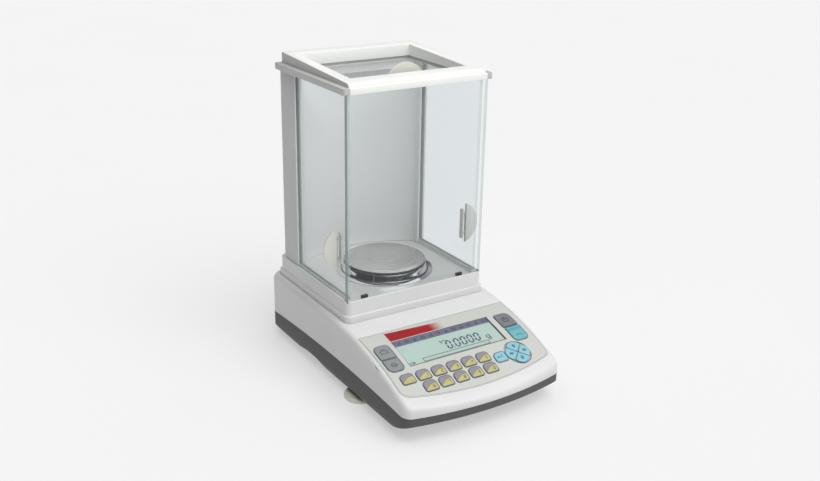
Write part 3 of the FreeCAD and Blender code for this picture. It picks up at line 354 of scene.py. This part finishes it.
EDGE_GLASS = glass_edge("glass_edge", srgb(118, 146, 138), 0.1)
PALE_EDGE_GLASS = glass_edge("pale_edge_glass", srgb(204, 214, 214), 0.7)
# Darker metals used as painted dark reflection on the ring's flare and the pan's rim.
CHROME_PAINTED_REFLECTION = polished("chrome_painted_reflection", srgb(96, 96, 100), 0.1)
STEEL_PAINTED_REFLECTION = turned("steel_painted_reflection", srgb(92, 91, 90), PAN_CENTRE)
LCD = liquid_crystal("lcd_area", srgb(169, 191, 183))
BAND_INK = printed("band_ink", srgb(96, 96, 116), 0.3, 0.08)
SEGMENT_INK = printed("segment_ink", srgb(52, 56, 92), 0.3, 0.05)
LINE_INK = printed("line_ink", srgb(84, 90, 96), 0.4, 0.05)
YELLOW_INK = printed("yellow_ink", srgb(180, 175, 112), 0.4, 0.08)
TEAL_INK = printed("teal_ink", srgb(52, 112, 122), 0.4, 0.05)
DARK_INK = printed("dark_ink", srgb(50, 52, 56), 0.4, 0.05)
SOFT_INK = printed("soft_ink", srgb(150, 151, 149), 0.4, 0.05)
# Key border ink. The same material also draws the painted shadow lines round the keys.
BORDER_PRINT_AND_PAINTED_SHADOW = printed("border_ink", srgb(92, 94, 104), 0.4, 0.05)
# Dark colour for the painted shade round the display's recess.
LCD_RECESS_PAINTED_SHADE = printed("lcd_recess_painted_shade", srgb(58, 66, 66), 0.4, 0.05)
BLUE_INK = printed("blue_ink", srgb(82, 150, 172), 0.4, 0.05)
RED_INK = fading_ink("red_ink", srgb(150, 2, 16), FILM, -20 * MM, 5 * MM)

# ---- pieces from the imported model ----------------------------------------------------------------


def link_piece(name, mesh, body, material_slot, materials):
    """Adds a visible piece that rides a body."""
    piece = bpy.data.objects.new(name, mesh)
    bpy.context.scene.collection.objects.link(piece)
    for material in materials:
        mesh.materials.append(material)
    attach(piece, body)
    return piece


def apply_modifiers(piece):
    """Bakes a piece's modifiers into its mesh."""
    bpy.context.view_layer.update()
    whole = piece.evaluated_get(bpy.context.evaluated_depsgraph_get())
    finished = bpy.data.meshes.new_from_object(whole)
    piece.modifiers.clear()
    piece.data = finished


def smooth_by_angle(mesh, degrees):
    """Smooth shading, with edges sharper than the angle kept crisp."""
    mesh.shade_smooth()
    mesh.set_sharp_from_angle(angle=math.radians(degrees))


def welded_copy(node):
    """The node's mesh with its triangles joined into clean faces."""
    mesh = NODES[node].data.copy()
    mesh.materials.clear()
    if mesh.has_custom_normals:
        mesh.attributes.remove(mesh.attributes["custom_normal"])
    work = bmesh.new()
    work.from_mesh(mesh)
    bmesh.ops.remove_doubles(work, verts=work.verts, dist=0.002 * MM)
    bmesh.ops.dissolve_limit(work, angle_limit=math.radians(0.3), verts=work.verts,
                             edges=work.edges)
    work.to_mesh(mesh)
    work.free()
    return mesh


def split_large_faces(mesh, most_corners=12):
    """Cuts many-cornered flat faces into triangles, so that a face with a hole in it stays open."""
    work = bmesh.new()
    work.from_mesh(mesh)
    large = [face for face in work.faces if len(face.verts) > most_corners]
    bmesh.ops.triangulate(work, faces=large)
    work.to_mesh(mesh)
    work.free()


def refine(node, width, segments=2, sharp=28, materials=None):
    """Replaces a CAD node by the same shape with its hard edges broken by a small radius."""
    mesh = welded_copy(node)
    if node == "chamber_plinth":
        split_large_faces(mesh)
    slot = SLOT_OF[node]
    piece = link_piece(f"{node}_finish", mesh, BODY_OF[node], slot, materials or [MATERIALS[slot]])
    smooth_by_angle(mesh, sharp)
    bevel = piece.modifiers.new("edge", "BEVEL")
    bevel.width = width
    bevel.segments = segments
    bevel.limit_method = "ANGLE"
    bevel.angle_limit = math.radians(sharp)
    bevel.use_clamp_overlap = False
    bevel.harden_normals = False
    apply_modifiers(piece)
    smooth_by_angle(piece.data, 32)
    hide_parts(node)
    return piece


def refine_pane(node, width):
    """A pane: clear faces, green ground edges, a small arris."""
    piece = refine(node, width, 1, materials=[MATERIALS["pane_glass"], EDGE_GLASS, PALE_EDGE_GLASS])
    left = 1 if node == "front_glass" else 2
    low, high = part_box(node)
    size = high - low
    thin = min(range(3), key=lambda axis: size[axis])
    for polygon in piece.data.polygons:
        if abs(polygon.normal[thin]) > 0.9:
            polygon.material_index = 0
        else:
            polygon.material_index = left if polygon.normal.x < -0.5 else 2
    return piece


def paint_reflection_on_slopes(node, material, low, high):
    """Gives a finished metal piece painted dark reflection: a darker tone where its surface leans
    between two tilts.
    """
    mesh = bpy.data.objects[f"{node}_finish"].data
    mesh.materials.append(material)
    for polygon in mesh.polygons:
        if low < polygon.normal.z < high:
            polygon.material_index = len(mesh.materials) - 1


# Width of the broken edge on each piece, in millimetres.
EDGE_WIDTHS = {
    "upper_housing": 0.35, "base_shell": 0.25, "chamber_plinth": 0.5, "top_frame": 0.3,
    "rear_column": 0.8, "glass_clips": 0.3, "door_tracks": 0.25,
    "left_door_handle": 0.4, "right_door_handle": 0.4, "top_door_handle": 0.6,
    "foot_left": 0.6, "foot_right": 0.6, "rear_feet": 0.5, "rear_panel": 0.3,
    "power_socket": 0.2, "serial_port": 0.2, "weighing_pan": 0.25, "shield_ring": 0.2,
    "level_bezel": 0.15,
}
KEY_EDGE = 0.35
PANE_EDGE = 0.3
WIDE_EDGE = 0.4
for node, width in EDGE_WIDTHS.items():
    refine(node, width * MM, 3 if width > WIDE_EDGE else 2)
# Painted dark reflection on the shield ring's flare and on the pan's sloping rim.
paint_reflection_on_slopes("shield_ring", CHROME_PAINTED_REFLECTION, 0.5, 0.93)
paint_reflection_on_slopes("weighing_pan", STEEL_PAINTED_REFLECTION, -0.95, 0.9)
for node in NODES:
    if node.endswith("_key"):
        refine(node, KEY_EDGE * MM, 3)
for node in ("front_glass", "left_door_glass", "right_door_glass", "top_door_glass"):
    refine_pane(node, PANE_EDGE * MM)
for node, part in NODES.items():
    if not part.hide_render:
        part.data.materials.clear()
        finish = "membrane" if node == "keypad_membrane" else SLOT_OF[node]
        part.data.materials.append(MATERIALS[finish])

# ---- printed film with painted shade round the keys, display and keys ----------------------------

SCREEN = (-3.0, 95.8)
SCREEN_HALF = (63.2, 20.2)
KEYPAD_HALF = 96.0
NUMBER_KEYS = [(131.0, column) for column in range(6)] + [(146.6, column) for column in range(1, 6)]
KEY_AT = {"print_key": (-82.2, 87.6), "unit_key": (-82.2, 108.7), "power_key": (78.2, 88.0),
          "tare_key": (78.6, 111.6), "enter_key": (37.0, 137.4)}
KEY_SIZE = {"print_key": (19.2, 22.0), "unit_key": (19.2, 18.4), "power_key": (20.0, 22.4),
            "tare_key": (19.6, 22.4), "enter_key": (15.2, 13.4)}
KEY_CORNERS = {"print_key": (1.5, 1.5, 4.0, 8.0), "unit_key": (6.5, 6.5, 1.5, 1.5),
               "power_key": (1.5, 1.5, 7.0, 4.0), "tare_key": (5.5, 6.5, 1.5, 1.5),
               "enter_key": (2.4, 2.4, 2.4, 6.0)}
for number, (row_arc, column) in enumerate(NUMBER_KEYS, start=1):
    node = f"number_key_{number:02d}"
    KEY_AT[node] = (-78.8 + 19.25 * column, row_arc)
    KEY_SIZE[node] = (15.8, 13.4)
    KEY_CORNERS[node] = (2.4, 2.4, 3.6, 5.6)
CLUSTER = (60.8, 137.4)
KEY_TOP = 0.8
FILM_TOP = 0.1
LCD_LIFT, LCD_INK_LIFT, LCD_ICON_LIFT, LCD_RIM_LIFT = -0.49, -0.46, -0.43, -0.4


def on_deck(lift):
    """Maps (x, arc, height) in millimetres to the curved deck."""
    def place(x, arc, height):
        angle = arc * MM / DECK_RADIUS
        reach = DECK_RADIUS + (lift + height) * MM
        return Vector((x * MM, DECK_TANGENT_Y - reach * math.sin(angle),
                       DECK_Z - DECK_RADIUS + reach * math.cos(angle)))
    return place


def on_plane(x0, arc0, lift):
    """Maps (across, up, height) in millimetres to the flat that touches the deck at (x0, arc0)."""
    angle = arc0 * MM / DECK_RADIUS
    up = Vector((0, math.cos(angle), math.sin(angle)))
    out = Vector((0, -math.sin(angle), math.cos(angle)))
    origin = on_deck(0)(x0, arc0, 0)

    def place(across, along, height):
        return (origin + Vector((across * MM, 0, 0)) + up * along * MM
                + out * (lift + height) * MM)
    return place


def plate(name, body, slot, material, islands, place, thickness=0.06, step=None):
    """A thin plate, for print and for painted shade: each island is a list of closed loops, the first
    outside, the rest holes.
    """
    whole = bmesh.new()
    for loops in islands:
        work = bmesh.new()
        for loop in loops:
            corners = [work.verts.new((u, v, 0)) for u, v in loop]
            for corner, after in zip(corners, corners[1:] + corners[:1]):
                work.edges.new((corner, after))
        bmesh.ops.triangle_fill(work, use_beauty=True, use_dissolve=False, edges=work.edges[:])
        if step:
            low = min(vert.co.y for vert in work.verts)
            high = max(vert.co.y for vert in work.verts)
            for k in range(1, int((high - low) / step) + 1):
                bmesh.ops.bisect_plane(work, geom=work.verts[:] + work.edges[:] + work.faces[:],
                                       plane_co=(0, low + k * step, 0), plane_no=(0, 1, 0))
        for face in work.faces:
            if face.normal.z < 0:
                face.normal_flip()
        grown = bmesh.ops.extrude_face_region(work, geom=work.faces[:])["geom"]
        for item in grown:
            if isinstance(item, bmesh.types.BMVert):
                item.co.z += thickness
        for vert in work.verts:
            vert.co = place(*vert.co)
        bmesh.ops.recalc_face_normals(work, faces=work.faces)
        part = bpy.data.meshes.new("part")
        work.to_mesh(part)
        work.free()
        whole.from_mesh(part)
        bpy.data.meshes.remove(part)
    mesh = bpy.data.meshes.new(name)
    whole.to_mesh(mesh)
    whole.free()
    return link_piece(name, mesh, body, slot, [material])


def corner_loop(x0, x1, y0, y1, radii, steps=6):
    """A rectangle with its own radius at each corner: low left, low right, high right, high left."""
    spots = [(x0, y0, 180), (x1, y0, 270), (x1, y1, 0), (x0, y1, 90)]
    loop = []
    for (x, y, start), radius in zip(spots, radii):
        inward = (1 if x == x0 else -1, 1 if y == y0 else -1)
        centre = (x + inward[0] * radius, y + inward[1] * radius)
        for k in range(steps + 1):
            angle = math.radians(start + 90 * k / steps)
            loop.append((centre[0] + radius * math.cos(angle), centre[1] + radius * math.sin(angle)))
    return loop


def stroke(points, width):
    """The outline of a line of even width through the points."""
    left, right = [], []
    for k, (x, y) in enumerate(points):
        ahead = points[min(k + 1, len(points) - 1)]
        behind = points[max(k - 1, 0)]
        run = Vector((ahead[0] - behind[0], ahead[1] - behind[1])).normalized()
        side = Vector((-run.y, run.x)) * width / 2
        left.append((x + side.x, y + side.y))
        right.append((x - side.x, y - side.y))
    return left + right[::-1]


def ring_loops(x, y, radius, width, steps=16):
    """A flat ring: its outer and its inner loop."""
    turn = [2 * math.pi * k / steps for k in range(steps)]
    return [[(x + r * math.cos(a), y + r * math.sin(a)) for a in turn]
            for r in (radius + width / 2, radius - width / 2)]


SEGMENTS = {"0": "abcdef", "1": "bc", "2": "abged", "3": "abgcd", "4": "fgbc", "5": "afgcd",
            "6": "afgedc", "7": "abc", "8": "abcdefg", "9": "abcfgd", ".": ""}


def digit(character, x, y, width, height, thick, slant=0.14):
    """Seven-segment figure standing at x, y; its bars have mitred ends and small gaps."""
    half, tall, gap = thick / 2, height / 2, thick * 0.14
    level = {"a": height - half, "g": tall, "d": half}
    upright = {"f": (half, tall, height - half), "b": (width - half, tall, height - half),
               "e": (half, half, tall), "c": (width - half, half, tall)}
    bars = []
    for name in SEGMENTS[character]:
        if name in level:
            v, a, b = level[name], half + gap, width - half - gap
            bars.append([(a, v), (a + half, v - half), (b - half, v - half), (b, v),
                         (b - half, v + half), (a + half, v + half)])
        else:
            u, low, high = upright[name]
            a, b = low + gap, high - gap
            bars.append([(u, a), (u + half, a + half), (u + half, b - half), (u, b),
                         (u - half, b - half), (u - half, a + half)])
    if character == ".":
        bars.append([(width / 2, 0), (width / 2 + thick, 0), (width / 2 + thick, thick),
                     (width / 2, thick)])
    return [[[(x + u + v * slant, y + v) for u, v in bar]] for bar in bars]


def letter_g(x, y, size, thick):
    """The gram sign: a ring, a straight back and a hook."""
    radius = size * 0.36
    middle = (x + radius, y + size * 0.62)
    hook = [(middle[0] + radius * math.cos(a), y + size * 0.22 + radius * math.sin(a))
            for a in [math.radians(d) for d in range(0, -171, -19)]]
    back = [(middle[0] + radius, y + size), (middle[0] + radius, y + size * 0.2)]
    return [ring_loops(*middle, radius, thick), [stroke(back, thick)], [stroke(hook, thick)]]


def band_icons():
    """Twelve small generic marks: bars, rings, wedges and boxes along the icon band."""
    islands = []
    for k in range(12):
        x, y = -58.5 + k * 10.2, 13.6
        if k % 4 == 0:
            islands += [[[(x + 1.6 * n, y), (x + 1.6 * n + 1.1, y), (x + 1.6 * n + 1.1, y + 2 + n),
                          (x + 1.6 * n, y + 2 + n)]] for n in range(3)]
        elif k % 4 == 1:
            islands.append(ring_loops(x + 2.2, y + 2.6, 2.0, 1.0))
            islands.append([stroke([(x + 2.2, y + 2.6), (x + 3.4, y + 4.0)], 0.7)])
        elif k % 4 == 2:
            islands.append([[(x, y), (x + 4.6, y), (x + 2.3, y + 4.6)]])
        else:
            box = [(x, y), (x + 4.8, y), (x + 4.8, y + 4.2), (x, y + 4.2)]
            islands.append([box, [(x + (u - x) * 0.6 + 0.96, y + (v - y) * 0.6 + 0.84)
                                  for u, v in box]])
    return islands


def make_screen():
    """Display: pale liquid crystal, the icon band and the reading."""
    half_w, half_l = SCREEN_HALF
    place = on_plane(*SCREEN, LCD_LIFT)
    ink = on_plane(*SCREEN, LCD_INK_LIFT)
    everywhere = [[[(-half_w, -half_l), (half_w, -half_l), (half_w, half_l), (-half_w, half_l)]]]
    plate("lcd_face", "base", "display_glass", LCD, everywhere, place, 0.04)
    band = [[[(-half_w, 11.6), (half_w, 11.6), (half_w, 19.6), (-half_w, 19.6)]]]
    plate("lcd_band", "base", "display_glass", BAND_INK, band, ink, 0.03)
    plate("lcd_icons", "base", "display_glass", SEGMENT_INK, band_icons(),
          on_plane(*SCREEN, LCD_ICON_LIFT), 0.03)
    reading = []
    for k in range(5):
        reading += digit("0", -8.6 + k * 9.0 + (1.2 if k else 0), -11.6, 7.2, 13.6, 2.0)
    reading += digit(".", -8.6 + 6.8, -11.6, 1.2, 1.4, 1.5)
    reading += letter_g(43.6, -12.6, 6.4, 1.1)
    plate("lcd_reading", "base", "display_glass", SEGMENT_INK, reading, ink, 0.03)
    frame_out = [(-44.6, -19.3), (42.6, -19.3), (42.6, -13.6), (-44.6, -13.6)]
    frame_in = [(-43.7, -18.4), (41.7, -18.4), (41.7, -14.5), (-43.7, -14.5)]
    marks = [[frame_out, frame_in]]
    marks += [[stroke([(-12.5, 4.0), (-9.5, 1.4), (-7.0, 3.8), (-4.0, 1.8)], 1.2)],
              [stroke([(-12.5, 1.2), (-10.0, 0.2)], 1.2)]]
    battery = [(-61.5, -18.6), (-56.0, -18.6), (-56.0, -15.6), (-61.5, -15.6)]
    hollow = [(-60.7, -17.9), (-58.2, -17.9), (-58.2, -16.3), (-60.7, -16.3)]
    marks += [[battery, hollow], [stroke([(-56.0, -17.1), (-55.0, -17.1)], 1.3)]]
    plate("lcd_marks", "base", "display_glass", LINE_INK, marks, ink, 0.03)
    # A dark rim round the display, widest on the right: painted shade of the recessed window's walls.
    rim_out = [(-63.5, -20.5), (63.5, -20.5), (63.5, 20.5), (-63.5, 20.5)]
    rim_in = [(-63.0, -20.0), (61.3, -20.0), (61.3, 19.8), (-63.0, 19.8)]
    plate("lcd_rim_painted_shade", "base", "keypad_film", LCD_RECESS_PAINTED_SHADE, [[rim_out, rim_in]],
          on_plane(*SCREEN, LCD_RIM_LIFT), 0.3)


def overlay_loop(inset):
    """The keypad film's outline in x and arc: bowed front, straight back."""
    half, back = KEYPAD_HALF - inset, 55.4 + inset
    bow_centre_y, bow_radius = 258.0, 409.5 - inset
    corner = 9.0
    deck_radius, tangent_y = DECK_RADIUS / MM, 7.0
    steps = 60
    near = []
    for k in range(steps + 1):
        x = half * math.sin(math.pi * (k / steps - 0.5))
        y = bow_centre_y - math.sqrt(bow_radius ** 2 - x * x)
        drop = min(abs(x) - (half - corner), corner)
        lift = corner - math.sqrt(corner ** 2 - drop * drop) if drop > 0 else 0.0
        arc = deck_radius * math.asin((tangent_y - y) / deck_radius) - lift
        near.append((x, arc))
    return [(-half, back), (half, back)] + near[::-1]


def make_film_prints():
    """The film's fine border line and its red band."""
    place = on_deck(FILM_TOP)
    edge = [overlay_loop(0.9), overlay_loop(1.35)]
    plate("film_line", "base", "keypad_film", SOFT_INK, [edge], place, 0.05, 5.0)
    red = [(-66.0, 59.0), (5.0, 62.6), (5.0, 73.9), (-66.0, 73.9)]
    plate("film_band", "base", "keypad_film", RED_INK, [[red]], place, 0.06, 4.0)


def key_outline(node, grow):
    """The key's outline in x and arc; arc grows towards the operator."""
    (x, arc), (width, length) = KEY_AT[node], KEY_SIZE[node]
    radii = [radius + grow for radius in KEY_CORNERS[node]]
    loop = corner_loop(-width / 2 - grow, width / 2 + grow, -length / 2 - grow,
                       length / 2 + grow, radii)
    return [(x + u, arc - v) for u, v in loop]


def key_face(node, margin):
    """The key's outline on its own top, drawn in by a margin."""
    width, length = KEY_SIZE[node]
    radii = [max(radius - margin, 0.4) for radius in KEY_CORNERS[node]]
    return corner_loop(margin - width / 2, width / 2 - margin, margin - length / 2,
                       length / 2 - margin, radii)


def make_number_keys():
    """Number keys: violet-grey caps with an olive field, a dark border and a figure."""
    figures = ".1234567890"
    for number in range(1, 12):
        node = f"number_key_{number:02d}"
        body, slot = BODY_OF[node], SLOT_OF[node]
        place = on_plane(*KEY_AT[node], KEY_TOP + 0.01)

        def curve(u):
            """Height of the field's upper edge, which rises towards the right of the key."""
            return 2.4 - 0.062 * (u - 7.2) ** 2 * (0.45 if u > -1 else 0.5)
        steps = [(-7.1 + 14.2 * k / 16) for k in range(17)]
        low = min(v for u, v in key_face(node, 0.8))
        top = [(u, max(curve(u), low + 0.3)) for u in steps]
        near = [(-6.2, low + 0.05), (6.2, low + 0.05), (7.1, low + 1.2)]
        field = near + top[::-1] + [(-7.1, low + 1.0)]
        plate(f"{node}_field", body, slot, YELLOW_INK, [[field]], place, 0.04)
        plate(f"{node}_curve", body, slot, LINE_INK, [[stroke(top, 0.45)]],
              on_plane(*KEY_AT[node], KEY_TOP + 0.03), 0.04)
        border = [[key_face(node, 0.15), key_face(node, 0.7)]]
        plate(f"{node}_border", body, slot, BORDER_PRINT_AND_PAINTED_SHADOW, border, place, 0.03)
        figure = digit(figures[number - 1], 2.0, -3.9, 2.5, 4.4, 0.75)
        plate(f"{node}_figure", body, slot, DARK_INK, figure,
              on_plane(*KEY_AT[node], KEY_TOP + 0.05), 0.04)


def make_large_keys():
    """The side keys and the enter key: a border and a generic pictogram each."""
    shapes = {
        "print_key": (LINE_INK, [[corner_loop(-4.6, 4.6, -2.6, 2.6, (0.5,) * 4, 2),
                                  corner_loop(-3.6, 3.6, -1.7, 1.7, (0.3,) * 4, 2)],
                                 [stroke([(-2.8, 3.9), (2.8, 3.9)], 1.2)]]),
        "unit_key": (LINE_INK, [ring_loops(0.0, 0.0, 2.8, 1.0),
                                [stroke([(-4.6, 0.0), (4.6, 0.0)], 0.9)]]),
        "power_key": (DARK_INK, [ring_loops(0.0, -0.4, 3.4, 1.1),
                                 [stroke([(0.0, 0.2), (0.0, 4.6)], 1.2)]]),
        "tare_key": (TEAL_INK, [[stroke([(-4.4, -4.4), (0.0, -2.2), (4.4, -4.4)], 1.1)]]),
        "enter_key": (TEAL_INK, [[stroke([(-3.2, 0.0), (2.4, 0.0), (2.4, 2.6)], 0.9)],
                                 [[(-4.4, 0.0), (-2.2, 1.7), (-2.2, -1.7)]]]),
    }
    for node, (ink, islands) in shapes.items():
        body, slot = BODY_OF[node], SLOT_OF[node]
        border_ink = TEAL_INK if node in ("tare_key", "enter_key") else BORDER_PRINT_AND_PAINTED_SHADOW
        place = on_plane(*KEY_AT[node], KEY_TOP + 0.01)
        border = [[key_face(node, 0.2), key_face(node, 0.75)]]
        plate(f"{node}_border", body, slot, border_ink, border, place, 0.03)
        plate(f"{node}_mark", body, slot, ink, islands,
              on_plane(*KEY_AT[node], KEY_TOP + 0.02), 0.04)
    band = [(-8.9, 4.4), (8.9, 4.4), (8.9, 8.6), (-8.9, 8.6)]
    plate("tare_key_band", BODY_OF["tare_key"], SLOT_OF["tare_key"], BLUE_INK, [[band]],
          on_plane(*KEY_AT["tare_key"], KEY_TOP + 0.015), 0.03)


def make_arrows():
    """An arrow head on each petal."""
    place = on_plane(*CLUSTER, KEY_TOP + 0.02)
    head = [(0.0, 12.0), (-2.6, 8.2), (-0.9, 8.2), (-0.9, 6.0), (0.9, 6.0), (0.9, 8.2), (2.6, 8.2)]
    for direction, turn in (("up", 0), ("left", 90), ("down", 180), ("right", 270)):
        node = f"arrow_{direction}_key"
        angle = math.radians(turn)
        loop = [(u * math.cos(angle) - v * math.sin(angle), u * math.sin(angle) + v * math.cos(angle))
                for u, v in head]
        plate(f"{node}_mark", BODY_OF[node], SLOT_OF[node], TEAL_INK, [[loop]], place, 0.04)


def make_key_shadow_lines():
    """Painted shadow on the film: fine dark lines round every key, standing in for the shade in each
    key's gap.
    """
    islands = [[key_outline(node, 0.75), key_outline(node, 0.36)] for node in KEY_AT]
    plate("key_painted_shadow_lines", "base", "keypad_film", BORDER_PRINT_AND_PAINTED_SHADOW, islands, on_deck(FILM_TOP), 0.05, 4.0)


make_screen()
make_film_prints()
make_number_keys()
make_large_keys()
make_arrows()
make_key_shadow_lines()

# ---- camera, light and floor ---------------------------------------------------------------------

CAMERA_PLACE = Vector((-0.57503, -0.88588, 0.55745))
CAMERA_AZIMUTH = math.radians(-32.96)
CAMERA_ELEVATION = math.radians(20.88)
CAMERA_ROLL = math.radians(1.13)


def add_camera():
    """The camera looks down at the front left corner of the object."""
    camera = bpy.data.objects.new("camera", bpy.data.cameras.new("camera"))
    bpy.context.scene.collection.objects.link(camera)
    camera.data.lens = 43.87
    camera.data.sensor_width = 36.0
    back = Vector((math.sin(CAMERA_AZIMUTH) * math.cos(CAMERA_ELEVATION),
                   -math.cos(CAMERA_AZIMUTH) * math.cos(CAMERA_ELEVATION),
                   math.sin(CAMERA_ELEVATION)))
    facing = back.to_track_quat("Z", "Y").to_matrix().to_4x4()
    camera.matrix_world = Matrix.Translation(CAMERA_PLACE) @ facing @ Matrix.Rotation(
        CAMERA_ROLL, 4, "Z")
    bpy.context.scene.camera = camera


def add_sun(name, source, strength, spread):
    """A large far light from the direction of source, soft by its spread in degrees."""
    lamp = bpy.data.lights.new(name, "SUN")
    lamp.energy = strength
    lamp.angle = math.radians(spread)
    holder = bpy.data.objects.new(name, lamp)
    holder.rotation_euler = Vector(source).to_track_quat("Z", "Y").to_euler()
    bpy.context.scene.collection.objects.link(holder)


def add_world():
    """A soft studio: uneven from horizon to zenith, and brighter on the operator's right."""
    world = bpy.data.worlds.new("studio")
    bpy.context.scene.world = world
    world.use_nodes = True
    tree = world.node_tree
    place = tree.nodes.new("ShaderNodeTexCoord")
    split = tree.nodes.new("ShaderNodeSeparateXYZ")
    ramp = tree.nodes.new("ShaderNodeValToRGB")
    stops = [(0.0, 0.5), (0.04, 0.05), (0.16, 0.08), (0.3, 0.6), (0.6, 0.35), (1.0, 0.5)]
    while len(ramp.color_ramp.elements) < len(stops):
        ramp.color_ramp.elements.new(1.0)
    for element, (position, value) in zip(ramp.color_ramp.elements, stops):
        element.position = position
        element.color = (value, value, value, 1)
    tree.links.new(place.outputs["Generated"], split.inputs["Vector"])
    tree.links.new(split.outputs["Z"], ramp.inputs["Fac"])
    tree.links.new(ramp.outputs["Color"], tree.nodes["Background"].inputs["Color"])
    sideways = tree.nodes.new("ShaderNodeMath")
    sideways.operation = "MULTIPLY_ADD"
    sideways.use_clamp = True
    sideways.inputs[1].default_value = 0.45
    sideways.inputs[2].default_value = 0.45
    tree.links.new(split.outputs["X"], sideways.inputs[0])
    tree.links.new(sideways.outputs["Value"], tree.nodes["Background"].inputs["Strength"])


def add_floor():
    """A pale paper floor, faintly lit from within so that shadows on it stay soft and light."""
    mesh = bpy.data.meshes.new("floor")
    half = 60.0
    mesh.from_pydata([(-half, -half, 0), (half, -half, 0), (half, half, 0), (-half, half, 0)], [],
                     [(0, 1, 2, 3)])
    floor = bpy.data.objects.new("floor", mesh)
    bpy.context.scene.collection.objects.link(floor)
    shader = Shader("floor_paper").set(Roughness=0.9, Specular_IOR_Level=0.1,
                                       Emission_Color=(1, 1, 1, 1), Emission_Strength=0.46)
    tones = [(0.3, (0.395, 0.395, 0.395, 1)), (0.7, (0.4, 0.4, 0.4, 1))]
    shader.colour(shader.ramp(shader.noise(3.0, 2.0), tones))
    mesh.materials.append(shader.material)


add_camera()
add_world()
add_floor()
add_sun("key_light", (0.12, -0.62, 0.78), 2.0, 60)
add_sun("top_light", (0.05, 0.05, 1.0), 1.4, 90)
bpy.context.scene.view_settings.view_transform = "Standard"

# ---- final scene update --------------------------------------------------------------------------

bpy.context.view_layer.update()
